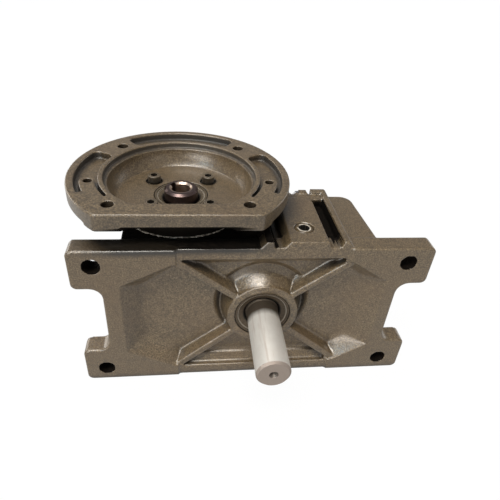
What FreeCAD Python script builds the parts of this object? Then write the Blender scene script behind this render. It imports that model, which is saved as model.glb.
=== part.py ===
# Worm gear reducer: an iron case with a four-lug mounting face, a motor flange cut off straight,
# a hollow keyed worm shaft, a bronze worm wheel and a solid output shaft through the mounting face.
# Frame: the output shaft lies along Y and enters the case towards +Y, the worm shaft stands along Z,
# and X points right. The origin is where the output axis meets the mounting face.

import FreeCAD, Part
import math
import os

V = FreeCAD.Vector

# Gear pair
MODULE = 3.0
WHEEL_TEETH = 30
PRESSURE_ANGLE = math.radians(20)
CENTRE_DISTANCE = 60.0
WORM_PITCH_R = 15.0
WORM_TIP_R = 18.0
WORM_ROOT_R = 11.4
WORM_LENGTH = 54.0
LEAD = math.pi * MODULE
BACKLASH = 0.4
WHEEL_PITCH_R = MODULE * WHEEL_TEETH / 2
WHEEL_TIP_R = 48.0
WHEEL_OUTER_R = 48.8
WHEEL_ROOT_R = 41.3
WHEEL_WIDTH = 27.0
RIM_INNER_R = 36.0

# Worm axis
WORM_X = -CENTRE_DISTANCE
WORM_Y = 62.0

# Mounting plate, measured from the output axis
PLATE_T = 15.0
PLATE_TOP = 62.0
LUG_LEFT = -134.0
LUG_RIGHT = 120.0
LUG_INNER = 30.0
WAIST_LEFT = -114.0
WAIST_RIGHT = 99.0
LUG_FILLET = 9.0
LUG_CORNER = 4.5
CAST_EDGE = 1.2
FOOT_HOLE_R = 6.0
FOOT_SPACING_X = 220.0
FOOT_SPACING_Z = 99.0
FOOT_MIDDLE_X = -8.5
RIM_LEFT = -63.0
RIM_RIGHT = 58.0
RIM_SETBACK = 1.6

# Dished front
DISH_DEPTH = 12.0
MOAT_DEPTH = 19.2
MOAT_R = 39.0
MOAT_LIFT = 7.0
POCKET_HALF = 53.3
POCKET_LEFT = -60.0
POCKET_RIGHT = 55.5
BOSS_FACE_Y = 2.5
BOSS_R = 27.0
BOSS_FOOT_R = 34.5
FRONT_RIB_TOP = 5.4
FRONT_RIB_CROWN = 0.45
FRONT_RIB_END = (64.0, 51.5)

# Case
CASE_TOP = 61.0
CASE_RIGHT = 81.0
CASE_RIGHT_BACK = 76.8
CASE_BACK = 77.0
CASE_LEFT = -100.0
BARREL_RIGHT = -22.0
CASE_JOIN = -24.0
BARREL_BACK = 97.0
BARREL_BOTTOM = -51.0
BARREL_CORNER = 22.0
CASE_CORNER = 10.0
CASE_FRONT = 10.0
WALL = 7.0
RIB_TOP = 66.9
RIDGES = ((-6.0, -2.4, 2.3, 3.3), (10.2, 14.0, 40.8, 43.0), (50.6, 51.8, 55.4, 58.8))
CHANNEL_FLOOR = 57.5
CHANNEL_END = 64.0
DRUM_R = 59.5
CHAMBER_R = 52.5
CHAMBER_FRONT = 28.0
NECK_R = 45.0

# Shafts, seals and bearings
OUTPUT_R = 12.0
OUTPUT_END = -54.0
OUTPUT_RELIEF = 0.2
SEAT_R = 12.5
WHEEL_SEAT_R = 15.0
COLLAR_R = 17.0
HUB_HALF = 22.0
BEARING_R = 23.5
BEARING_W = 15.0
FRONT_BEARING_Y = 26.0
REAR_BEARING_Y = 92.0
UPPER_BEARING_Z = 38.0
LOWER_BEARING_Z = -34.0
ROLLERS = 12
SEAL_W = 7.0
OUTPUT_SEAL_R = 21.0
OUTPUT_SEAL_Y = 3.6
INPUT_SEAL_R = 20.0
INPUT_SEAL_Z = 63.0
RUN_FIT = 0.05
SLIP_FIT = 0.02
KEY_W = 8.0
KEY_H = 7.0
KEYWAY_TURN = -22.5

# Motor flange
FLANGE_R = 80.0
FLANGE_FACE = 88.0
FLANGE_T = 10.5
FLANGE_FLAT_Y = 2.6
REGISTER_R = 55.0
REGISTER_DEPTH = 4.5
BELL_FLOOR = 70.5
BELL_FLOOR_R = 46.8
BELL_FRONT_Y = 17.3
BELL_CORNER = 18.0
MOTOR_BOLT_R = 65.0
MOTOR_HOLE_R = 4.0
SIDE_HOLE_R = 3.0
SIDE_HOLE_DEG = -12.0
POCKET_IN = 58.5
POCKET_OUT = 74.5
POCKET_DEPTH = 5.5
FLANGE_SCREW_R = 29.6
SCREW_SEAT = 68.0
SCREW_SEAT_R = 6.2
SPOT_R = 16.0
SPOT_DROP = 2.0
INPUT_BORE_R = 7.0
INPUT_BORE_DEPTH = 40.0
HUB_TOP = 76.0

# Covers and fasteners
GASKET = 0.5
COVER_FLANGE = 7.5
COVER_BOLT_R = 60.0
COVER_EAR_R = 7.5
CAP_R = 34.0
CAP_T = 6.0
CAP_BOLT_R = 28.5
M6_R = 3.0
M6_CLEAR = 3.3
WASHER_T = 1.5
PLUG_R = 6.6
PLUG_X = 26.6
PLUG_Y = 20.5

QUARTERS = (45, 135, 225, 315)
ORIGIN = V(0, 0, 0)
ALONG_Y = V(0, 1, 0)
ALONG_Z = V(0, 0, 1)


def face_of(points):
    """Flat face from corner points."""
    return Part.Face(Part.makePolygon(points + points[:1]))


def rod(radius, start, end):
    """Cylinder between two points."""
    return Part.makeCylinder(radius, (end - start).Length, start, end - start)


def placed(shape, at, along):
    """Shape drawn about Z at the origin, stood at a point with its Z along a direction."""
    shape.Placement = FreeCAD.Placement(at, FreeCAD.Rotation(ALONG_Z, along))
    return shape


def turned(profile, at=ORIGIN, along=ALONG_Z):
    """Solid of revolution from (radius, height) corners."""
    section = face_of([V(r, 0, h) for r, h in profile])
    return placed(section.revolve(ORIGIN, ALONG_Z, 360), at, along)


def about_output(profile):
    """Solid of revolution about the output axis, from (radius, y) corners."""
    return turned(profile, ORIGIN, ALONG_Y)


def about_worm(profile):
    """Solid of revolution about the worm axis, from (radius, z) corners."""
    return turned(profile, V(WORM_X, WORM_Y, 0), ALONG_Z)


def worm_point(radius, degrees, z):
    """Point at a radius and angle about the worm axis."""
    turn = math.radians(degrees)
    return V(WORM_X + radius * math.cos(turn), WORM_Y + radius * math.sin(turn), z)


def output_point(radius, degrees, y):
    """Point at a radius and angle about the output axis."""
    turn = math.radians(degrees)
    return V(radius * math.cos(turn), y, radius * math.sin(turn))


def box(low, high):
    """Box between two corners."""
    size = high - low
    return Part.makeBox(size.x, size.y, size.z, low)


def edges_along(shape, direction, where):
    """Straight edges of a shape along a direction, at middles that a test accepts."""
    chosen = []
    for edge in shape.Edges:
        run = edge.Vertexes[-1].Point - edge.Vertexes[0].Point
        straight = edge.Curve.TypeId == "Part::GeomLine"
        if straight and run.cross(direction).Length < 1e-6 and where(edge.CenterOfMass):
            chosen.append(edge)
    return chosen


def edges_at(shape, where):
    """Edges whose whole length passes a test of place."""
    ends = lambda edge: [edge.valueAt(t) for t in (edge.FirstParameter, edge.LastParameter)]
    return [e for e in shape.Edges if where(e.CenterOfMass) and all(where(p) for p in ends(e))]


def hexagon(across_flats, at, along, height):
    """Hexagonal prism, for heads and sockets."""
    corner = across_flats / math.sqrt(3)
    turns = [math.radians(60 * i) for i in range(6)]
    outline = face_of([V(corner * math.cos(t), corner * math.sin(t), 0) for t in turns])
    return placed(outline.extrude(V(0, 0, height)), at, along)


def fused(shapes):
    """All shapes as one solid."""
    return shapes[0].multiFuse(shapes[1:]).removeSplitter()


# Case casting

def foot_plate():
    """Mounting plate: a waisted rectangle with four lugs, its rim set back between the end pads."""
    bars = [box(V(WAIST_LEFT, 0, -PLATE_TOP), V(WAIST_RIGHT, PLATE_T, PLATE_TOP))]
    for low in (LUG_INNER, -PLATE_TOP):
        high = low + PLATE_TOP - LUG_INNER
        bars.append(box(V(LUG_LEFT, 0, low), V(LUG_RIGHT, PLATE_T, high)))
    plate = fused(bars)
    inner = edges_along(plate, ALONG_Y, lambda p: LUG_LEFT + 1 < p.x < LUG_RIGHT - 1)
    plate = plate.makeFillet(LUG_FILLET, inner)
    outer = edges_along(plate, ALONG_Y, lambda p: p.x < LUG_LEFT + 1 or p.x > LUG_RIGHT - 1)
    plate = plate.makeFillet(LUG_CORNER, outer)
    plate = plate.makeFillet(CAST_EDGE, edges_at(plate, lambda p: abs(p.y) < 1e-6))
    step = RIM_SETBACK + CAST_EDGE
    gap = face_of([V(RIM_LEFT - 1, -1, 0), V(RIM_RIGHT + 1, -1, 0),
                   V(RIM_RIGHT - 1, step, 0), V(RIM_LEFT + 1, step, 0)])
    gap = gap.extrude(V(0, 0, 3 * PLATE_TOP))
    gap.translate(V(0, 0, -1.5 * PLATE_TOP))
    crest = [(RIM_LEFT - 4, PLATE_TOP)]
    for foot_left, top_left, top_right, foot_right in RIDGES:
        crest += [(foot_left - 0.6, PLATE_TOP), (top_left, RIB_TOP),
                  (top_right, RIB_TOP), (foot_right, PLATE_TOP)]
    crest.append((RIM_RIGHT + 4, PLATE_TOP))
    ends = [(RIM_RIGHT + 4, -PLATE_TOP), (RIM_LEFT - 4, -PLATE_TOP)]
    rim = face_of([V(x, RIM_SETBACK, z) for x, z in crest + ends]).extrude(V(0, PLATE_T - RIM_SETBACK, 0))
    lips = edges_at(rim, lambda p: p.y < RIM_SETBACK + 0.1 and abs(p.z) > PLATE_TOP - 1)
    rim = rim.makeFillet(0.9, lips)
    return plate.cut(gap).fuse(rim).removeSplitter()


def cover_rods(radius, low, high):
    """Round ears or holes at the back cover's bolts."""
    ends = [[output_point(COVER_BOLT_R, turn, y) for y in (low, high)] for turn in QUARTERS]
    return [rod(radius, *pair) for pair in ends]


def case_block():
    """Gear case behind the plate: wheel box, worm barrel and round drum for the back cover."""
    plan = face_of([V(CASE_JOIN, CASE_FRONT, -CASE_TOP), V(CASE_RIGHT, CASE_FRONT, -CASE_TOP),
                    V(CASE_RIGHT_BACK, CASE_BACK, -CASE_TOP), V(CASE_JOIN, CASE_BACK, -CASE_TOP)])
    wheel_box = plan.extrude(V(0, 0, 2 * CASE_TOP))
    corner = edges_along(wheel_box, ALONG_Z, lambda p: p.x > 0 and p.y > CASE_BACK - 1)
    wheel_box = wheel_box.makeFillet(CASE_CORNER, corner)
    rims = edges_at(wheel_box, lambda p: abs(abs(p.z) - CASE_TOP) < 1e-6 and p.x > CASE_JOIN - 1)
    rims = [e for e in rims if e.CenterOfMass.x > 0 and e.CenterOfMass.y > CASE_FRONT + 1]
    wheel_box = wheel_box.makeFillet(1.5, rims)
    low = V(CASE_LEFT, CASE_FRONT, BARREL_BOTTOM)
    barrel = box(low, V(BARREL_RIGHT, BARREL_BACK, CASE_TOP))
    backs = edges_along(barrel, ALONG_Z, lambda p: p.y > CASE_FRONT + 1)
    barrel = barrel.makeFillet(BARREL_CORNER, backs)
    neck = about_worm([(0, 46), (33, 49), (NECK_R, 55), (NECK_R, CASE_TOP), (0, CASE_TOP)])
    drum = rod(DRUM_R, V(0, 50, 0), V(0, BARREL_BACK, 0))
    return [wheel_box, barrel, neck, drum] + cover_rods(COVER_EAR_R, 78, BARREL_BACK)


def ridge(foot_left, top_left, top_right, foot_right, top, back):
    """Cast ridge along the upper side, from the plate to the back of the case."""
    base = CASE_TOP - WALL
    corners = [(foot_left, base), (foot_left, CASE_TOP), (top_left, top),
               (top_right, top), (foot_right, CASE_TOP), (foot_right, base)]
    front = PLATE_T - 1
    section = face_of([V(x, front, z) for x, z in corners])
    block = section.extrude(V(0, back - front, 0))
    return block.makeFillet(0.8, edges_along(block, ALONG_Y, lambda p: p.z > top - 0.1))


def upper_side():
    """Two ribs, the plug's plateau with a rounded end, two lugs on the back edge and a web by them."""
    rib_left = ridge(*RIDGES[0], RIB_TOP, CASE_BACK - 2)
    rib_right = ridge(*RIDGES[2], RIB_TOP, CASE_BACK)
    plateau_base = ridge(*RIDGES[1], RIB_TOP - 1.8, CASE_BACK - 4)
    plateau = ridge(*RIDGES[1], RIB_TOP, 66)
    middle = (RIDGES[1][1] + RIDGES[1][2]) / 2
    reach = V(middle, 47, CASE_TOP - WALL)
    end = rod(17.0, reach, reach + V(0, 0, 2 * WALL))
    plateau = plateau.common(fused([box(V(0, 0, CASE_TOP - WALL), V(60, 47, RIB_TOP + 1)), end]))
    lug_low = V(33.5, CASE_BACK - 5, CASE_TOP - WALL)
    lugs = [
        box(lug_low, V(40.3, CASE_BACK + 1, RIB_TOP - 0.6)),
        box(lug_low + V(9.5, 0, 0), V(55.4, CASE_BACK + 1, RIB_TOP)),
        box(V(41, CHANNEL_END, CASE_TOP - WALL), V(53, CASE_BACK - 4, RIB_TOP - 1.8)),
    ]
    return [rib_left, rib_right, plateau_base, plateau] + lugs


def lower_side():
    """Ribs under the case, level with the lugs' lower edges, a gusset under the barrel, the drain boss."""
    top = -CASE_TOP + WALL
    rails = ((-2.4, 2.4), (51.8, 55.4))
    ribs = [box(V(x0, CASE_FRONT, -PLATE_TOP), V(x1, CASE_BACK, top)) for x0, x1 in rails]
    barrel = BARREL_BOTTOM + WALL
    side = [(CASE_FRONT, barrel), (CASE_FRONT, -PLATE_TOP), (PLATE_T + 3, -PLATE_TOP),
            (72, BARREL_BOTTOM), (72, barrel)]
    ribs.append(face_of([V(CASE_LEFT, y, z) for y, z in side]).extrude(V(5, 0, 0)))
    boss = rod(PLUG_R + 4, V(PLUG_X, PLUG_Y + 2, -PLATE_TOP), V(PLUG_X, PLUG_Y + 2, top))
    return ribs + [boss]


def loft_y(mouth, floor, depth):
    """Ruled block between an outline at y = 0 and another at a depth, rounded at the bottom."""
    wires = []
    for points, y in ((mouth, 0), (floor, depth)):
        wires.append(Part.makePolygon([V(x, y, z) for x, z in points + points[:1]]))
    block = Part.makeLoft(wires, True, True)
    block = block.makeFillet(3.5, edges_at(block, lambda p: abs(p.y - depth) < 1e-6))
    return fused([block, Part.Face(wires[0]).extrude(V(0, -3, 0))])


def mirrored_outline(half):
    """Closed outline from its upper half."""
    return half + [(x, -z) for x, z in reversed(half)]


def dish():
    """Spaces of the dished front: a basin, a taller middle between the ribs, a moat round the boss."""
    basin = loft_y(mirrored_outline([(-102, 32), (-66, 50), (60, 51), (89, 33)]),
                   mirrored_outline([(-87, 26), (-61, 45), (55, 46), (70, 31)]), DISH_DEPTH)
    half = [(-2, POCKET_HALF + 0.3), (0, POCKET_HALF), (5.5, POCKET_HALF - 1.1),
            (7.5, POCKET_HALF - 3.3), (DISH_DEPTH - 0.3, 41)]
    section = half + [(y, -z) for y, z in reversed(half)]
    pocket = face_of([V(POCKET_LEFT, y, z) for y, z in section]).extrude(V(POCKET_RIGHT - POCKET_LEFT, 0, 0))
    slope = Part.BSplineCurve()
    slope.interpolate([V(MOAT_R, 0, 11), V(36.4, 0, 12.3), V(34, 0, 14.2), V(32, 0, 16.6), V(30.4, 0, 18.4),
                       V(28.4, 0, MOAT_DEPTH)])
    corners = [V(28.4, 0, MOAT_DEPTH), V(0, 0, MOAT_DEPTH), V(0, 0, -2), V(MOAT_R, 0, -2), V(MOAT_R, 0, 11)]
    section = Part.Face(Part.Wire([slope.toShape()] + Part.makePolygon(corners).Edges))
    moat = placed(section.revolve(ORIGIN, ALONG_Z, 360), V(0, 0, MOAT_LIFT), ALONG_Y)
    return [basin, pocket, moat]


def front_boss():
    """Boss round the output shaft: rounded lip and a side that sweeps out into the moat."""
    lip = Part.Arc(V(BOSS_R - 1.2, 0, BOSS_FACE_Y), V(BOSS_R - 0.3, 0, BOSS_FACE_Y + 0.4),
                   V(BOSS_R, 0, BOSS_FACE_Y + 1.3))
    floor = MOAT_DEPTH + 0.3
    side = Part.Arc(V(BOSS_R, 0, BOSS_FACE_Y + 1.3), V(BOSS_R + 1.9, 0, 11.5), V(BOSS_FOOT_R, 0, floor))
    corners = [V(BOSS_FOOT_R, 0, floor), V(BOSS_FOOT_R, 0, floor + 2), V(0, 0, floor + 2),
               V(0, 0, BOSS_FACE_Y), V(BOSS_R - 1.2, 0, BOSS_FACE_Y)]
    wire = Part.Wire([lip.toShape(), side.toShape()] + Part.makePolygon(corners).Edges)
    return placed(Part.Face(wire).revolve(ORIGIN, ALONG_Z, 360), ORIGIN, ALONG_Y)


def rib_section(run, distance, top):
    """Section of a front rib: a crowned top and flanks flaring into the floor."""
    side = run.cross(ALONG_Y).normalize()
    start = run * (distance / run.Length)
    half = FRONT_RIB_TOP / 2
    edge = top + FRONT_RIB_CROWN
    flank = [(half, edge), (half + 0.6, 7), (half + 1.2, 10), (half + 2.4, 12.4),
             (half + 4.5, 15), (half + 5.5, 20)]
    edges = []
    for sign in (1, -1):
        curve = Part.BSplineCurve()
        curve.interpolate([start + side * (sign * w) + V(0, y, 0) for w, y in flank])
        edges.append(curve.toShape())
    crown = [start + side * w + V(0, y, 0) for w, y in ((half, edge), (0, top), (-half, edge))]
    foot = [start + side * (sign * flank[-1][0]) + V(0, flank[-1][1], 0) for sign in (1, -1)]
    edges += [Part.Arc(*crown).toShape(), Part.makeLine(*foot)]
    return Part.Wire(Part.__sortEdges__(edges))


def front_rib(end_x, end_z):
    """Rib from the boss to a corner of the dish, rising towards the plate's face."""
    run = V(end_x, 0, end_z)
    sections = [rib_section(run, 23, BOSS_FACE_Y + 1.2), rib_section(run, run.Length, RIM_SETBACK)]
    in_plate = box(V(-run.Length, 0, -run.Length), V(run.Length, PLATE_T - 0.3, run.Length))
    in_moat = rod(MOAT_R, V(0, 0, MOAT_LIFT), V(0, 2 * PLATE_T, MOAT_LIFT))
    return Part.makeLoft(sections, True, True).common(fused([in_plate, in_moat]))


def housing():
    """Case casting with its bores, chamber and holes."""
    case = fused([foot_plate()] + case_block() + upper_side() + lower_side())
    channels = [box(V(x0, PLATE_T + 0.5, CHANNEL_FLOOR), V(x1, back, CASE_TOP + 1))
                for x0, x1, back in ((3.3, 10.2, CASE_BACK - 6), (43.0, 50.6, CHANNEL_END))]
    for space in dish() + channels:
        case = case.cut(space)
    end_x, end_z = FRONT_RIB_END
    ribs = [front_rib(sx * end_x, sz * end_z) for sx in (-1, 1) for sz in (-1, 1)]
    case = fused([case, front_boss()] + ribs)

    chamber = rod(CHAMBER_R, V(0, CHAMBER_FRONT, 0), V(0, BARREL_BACK + 1, 0))
    sump_top = CASE_TOP - WALL
    sump = box(V(0, CHAMBER_FRONT, -sump_top), V(CASE_RIGHT_BACK - WALL, CASE_BACK - WALL, sump_top))
    sump = sump.makeFillet(6, edges_along(sump, ALONG_Z, lambda p: p.x > 1))
    well = box(V(PLUG_X - 12, MOAT_DEPTH, 38), V(PLUG_X + 12, CHAMBER_FRONT + 4, sump_top))
    low_well = box(V(PLUG_X - 12, MOAT_DEPTH, -sump_top), V(PLUG_X + 12, CHAMBER_FRONT + 4, -38))
    worm_bore = rod(BEARING_R, V(WORM_X, WORM_Y, BARREL_BOTTOM - 1), V(WORM_X, WORM_Y, CASE_TOP + 1))
    seal_bore = rod(OUTPUT_SEAL_R, ORIGIN, V(0, OUTPUT_SEAL_Y + SEAL_W + 0.3, 0))
    shaft_hole = rod(COLLAR_R, ORIGIN, V(0, CHAMBER_FRONT, 0))
    bearing_bore = rod(BEARING_R, V(0, FRONT_BEARING_Y - BEARING_W, 0), V(0, CHAMBER_FRONT + 1, 0))
    cap_seat = rod(CAP_R + 0.5, V(WORM_X, WORM_Y, -PLATE_TOP - 1), V(WORM_X, WORM_Y, BARREL_BOTTOM))
    cuts = [chamber, sump, well, low_well, worm_bore, cap_seat, seal_bore, shaft_hole, bearing_bore]
    for sx in (-0.5, 0.5):
        for sz in (-0.5, 0.5):
            at = V(FOOT_MIDDLE_X + sx * FOOT_SPACING_X, -1, sz * FOOT_SPACING_Z)
            cuts.append(rod(FOOT_HOLE_R, at, at + V(0, PLATE_T + 2, 0)))
    for turn in QUARTERS:
        flange_hole = worm_point(FLANGE_SCREW_R, turn, CASE_TOP + 1)
        cuts.append(rod(M6_R, flange_hole, flange_hole - V(0, 0, 18)))
        cap_hole = worm_point(CAP_BOLT_R, turn, BARREL_BOTTOM - 1)
        cuts.append(rod(M6_R, cap_hole, cap_hole + V(0, 0, 12)))
        cover_hole = output_point(COVER_BOLT_R, turn, BARREL_BACK + 1)
        cuts.append(rod(M6_R, cover_hole, cover_hole - V(0, 15, 0)))
    plug_top = V(PLUG_X, PLUG_Y, RIB_TOP + 1)
    cuts.append(rod(PLUG_R, plug_top, V(PLUG_X, PLUG_Y, sump_top - 1)))
    cuts.append(Part.makeCone(PLUG_R, PLUG_R + 2, 2, V(PLUG_X, PLUG_Y, RIB_TOP - 1)))
    drain = V(PLUG_X, PLUG_Y + 2, -PLATE_TOP - 1)
    cuts.append(rod(PLUG_R, drain, V(PLUG_X, PLUG_Y + 2, -sump_top + 1)))
    return case.cut(fused(cuts))


# Motor flange

def arc_sector(inner, outer, start, end, low, high, corner):
    """Part of a ring about the worm axis, with rounded corners."""
    middle = (start + end) / 2
    far = Part.Arc(*[worm_point(outer, t, low) for t in (start, middle, end)]).toShape()
    near = Part.Arc(*[worm_point(inner, t, low) for t in (end, middle, start)]).toShape()
    sides = [Part.makeLine(worm_point(a, t, low), worm_point(b, t, low))
             for a, b, t in ((outer, inner, end), (inner, outer, start))]
    wire = Part.Wire([far, sides[0], near, sides[1]])
    block = Part.Face(wire).extrude(V(0, 0, high - low))
    return block.makeFillet(corner, edges_along(block, ALONG_Z, lambda p: True))


def bell():
    """Dished bell under the register, walled off straight towards the mounting face."""
    ledge = FLANGE_FACE - REGISTER_DEPTH
    foot = V(BELL_FLOOR_R, 0, BELL_FLOOR)
    brim = V(52.4, 0, ledge)
    curve = Part.Arc(foot, V(50.8, 0, 76.5), brim).toShape()
    corners = [brim, V(REGISTER_R, 0, ledge), V(REGISTER_R, 0, FLANGE_FACE + 1),
               V(0, 0, FLANGE_FACE + 1), V(0, 0, BELL_FLOOR), foot]
    wire = Part.Wire([curve] + Part.makePolygon(corners).Edges)
    dished = Part.Face(wire).revolve(ORIGIN, ALONG_Z, 360)
    dished = placed(dished, V(WORM_X, WORM_Y, 0), ALONG_Z)
    round_wall = rod(REGISTER_R + 1, V(WORM_X, WORM_Y, BELL_FLOOR - 1), V(WORM_X, WORM_Y, FLANGE_FACE + 2))
    front = box(V(WORM_X - 90, BELL_FRONT_Y, 0), V(WORM_X + 90, 200, 120))
    outline = round_wall.common(front)
    corners = edges_along(outline, ALONG_Z, lambda p: p.y < BELL_FRONT_Y + 0.1)
    outline = outline.makeFillet(BELL_CORNER, corners)
    return dished.common(outline)


def flange_pockets():
    """Arc pockets in the flange face; the side ones run round a bolt pad."""
    low = FLANGE_FACE - POCKET_DEPTH
    high = FLANGE_FACE + 1
    pockets = [arc_sector(POCKET_IN, POCKET_OUT, 54, 126, low, high, 5)]
    for mirror in (False, True):
        turn = lambda degrees: 180 - degrees if mirror else degrees
        limits = sorted((turn(29), turn(-37)))
        pocket = arc_sector(POCKET_IN, POCKET_OUT, limits[0], limits[1], low, high, 5)
        limits = sorted((turn(SIDE_HOLE_DEG), turn(-50)))
        pad = arc_sector(60.8, 71.0, limits[0], limits[1], low - 1, high, 0.5)
        tip = worm_point(65.9, turn(SIDE_HOLE_DEG), low - 1)
        pad = fused([pad, rod(5.1, tip, tip + V(0, 0, POCKET_DEPTH + 2))])
        fill = arc_sector(67, POCKET_OUT + 3, *sorted((turn(-24), turn(-45))), low - 1, high, 1.0)
        pockets.append(pocket.cut(fused([pad, fill])))
    return pockets


def motor_flange():
    """Motor flange: round plate on a bowl that seats on the worm barrel."""
    under = FLANGE_FACE - FLANGE_T
    seat = CASE_TOP + GASKET
    spigot = UPPER_BEARING_Z + BEARING_W + SLIP_FIT
    bowl = Part.Arc(V(NECK_R, 0, seat), V(51.8, 0, 69.8), V(57.6, 0, under)).toShape()
    spigot_r = BEARING_R - SLIP_FIT
    corners = [V(57.6, 0, under), V(FLANGE_R, 0, under), V(FLANGE_R, 0, FLANGE_FACE), V(0, 0, FLANGE_FACE),
               V(0, 0, spigot), V(spigot_r, 0, spigot), V(spigot_r, 0, seat), V(NECK_R, 0, seat)]
    wire = Part.Wire([bowl] + Part.makePolygon(corners).Edges)
    body = placed(Part.Face(wire).revolve(ORIGIN, ALONG_Z, 360), V(WORM_X, WORM_Y, 0), ALONG_Z)
    for turn in (225, 315):
        spot = worm_point(MOTOR_BOLT_R, turn, under - SPOT_DROP)
        disc = rod(FLANGE_R, V(WORM_X, WORM_Y, under - SPOT_DROP), V(WORM_X, WORM_Y, under + 1))
        body = body.fuse(rod(SPOT_R, spot, spot + V(0, 0, SPOT_DROP + 1)).common(disc))
    body = body.removeSplitter().cut(box(V(WORM_X - 100, -100, 0), V(WORM_X + 100, FLANGE_FLAT_Y, 120)))
    tall = edges_along(body, ALONG_Z, lambda p: p.y < FLANGE_FLAT_Y + 0.1 and abs(p.x - WORM_X) > 50)
    body = body.makeFillet(5.0, tall)
    rim = edges_at(body, lambda p: abs(p.z - FLANGE_FACE) < 1e-6)
    body = body.makeFillet(0.8, rim)

    cuts = [bell()] + flange_pockets()
    axis = V(WORM_X, WORM_Y, 0)
    cuts.append(rod(INPUT_SEAL_R, axis + V(0, 0, INPUT_SEAL_Z - SLIP_FIT), axis + V(0, 0, BELL_FLOOR + 1)))
    cuts.append(rod(WHEEL_SEAT_R + 1, axis + V(0, 0, spigot - 1), axis + V(0, 0, BELL_FLOOR)))
    for turn in QUARTERS:
        hole = worm_point(MOTOR_BOLT_R, turn, 70)
        cuts.append(rod(MOTOR_HOLE_R, hole, hole + V(0, 0, 20)))
    for turn in QUARTERS:
        spot = worm_point(FLANGE_SCREW_R, turn, SCREW_SEAT)
        cuts.append(rod(SCREW_SEAT_R, spot, spot + V(0, 0, 5)))
    cuts += worm_holes(FLANGE_SCREW_R, 60, 70)
    for turn in (SIDE_HOLE_DEG, 180 - SIDE_HOLE_DEG):
        cuts.append(rod(SIDE_HOLE_R, worm_point(MOTOR_BOLT_R, turn, 70), worm_point(MOTOR_BOLT_R, turn, 90)))
    return body.cut(fused(cuts))


# Shafts and gears

def worm_thread():
    """Single-start right-hand thread of straight-flanked axial section, trimmed to length."""
    reach = WORM_LENGTH + 2 * LEAD
    helix = Part.makeHelix(LEAD, reach, WORM_PITCH_R)
    thickness = LEAD / 2 - BACKLASH
    slope = math.tan(PRESSURE_ANGLE)
    root = thickness / 2 + slope * (WORM_PITCH_R - WORM_ROOT_R + 0.6)
    tip = thickness / 2 - slope * (WORM_TIP_R - WORM_PITCH_R)
    low = WORM_ROOT_R - 0.6
    section = Part.makePolygon([V(low, 0, -root), V(WORM_TIP_R, 0, -tip), V(WORM_TIP_R, 0, tip),
                                V(low, 0, root), V(low, 0, -root)])
    thread = Part.Wire(helix).makePipeShell([section], True, True)
    turns = round(reach / 2 / LEAD)
    thread.translate(V(0, 0, -turns * LEAD))
    half = WORM_LENGTH / 2
    trim = turned([(0, -half), (WORM_ROOT_R, -half), (WORM_TIP_R + 1, -half + 5), (WORM_TIP_R + 1, half - 5),
                   (WORM_ROOT_R, half), (0, half)])
    return thread.common(trim)


def worm_shaft():
    """Worm cut from the solid, with bearing seats and a hollow keyed upper end."""
    shoulder = 15.0
    upper = UPPER_BEARING_Z
    lower = LOWER_BEARING_Z
    end = lower - BEARING_W - 0.6
    half = WORM_LENGTH / 2
    shaft = turned([
        (0, end), (SEAT_R - 1, end), (SEAT_R, end + 1), (SEAT_R, lower), (shoulder, lower),
        (shoulder, -half - 3), (WORM_ROOT_R, -half), (WORM_ROOT_R, half), (shoulder, half + 3),
        (shoulder, upper), (SEAT_R, upper), (SEAT_R, HUB_TOP - 1.6), (SEAT_R - 1.6, HUB_TOP), (0, HUB_TOP),
    ])
    shaft = shaft.fuse(worm_thread())
    bottom = HUB_TOP - INPUT_BORE_DEPTH
    bore = turned([(0, bottom), (INPUT_BORE_R, bottom), (INPUT_BORE_R, HUB_TOP - 1.2),
                   (INPUT_BORE_R + 1.7, HUB_TOP + 0.5), (0, HUB_TOP + 0.5)])
    slot = box(V(0, -2.5, bottom + 6), V(9.3, 2.5, HUB_TOP + 1))
    slot.rotate(ORIGIN, ALONG_Z, 140)
    shaft = shaft.cut(fused([bore, slot]))
    shaft.translate(V(WORM_X, WORM_Y, 0))
    return shaft


def involute(angle):
    return math.tan(angle) - angle


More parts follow.
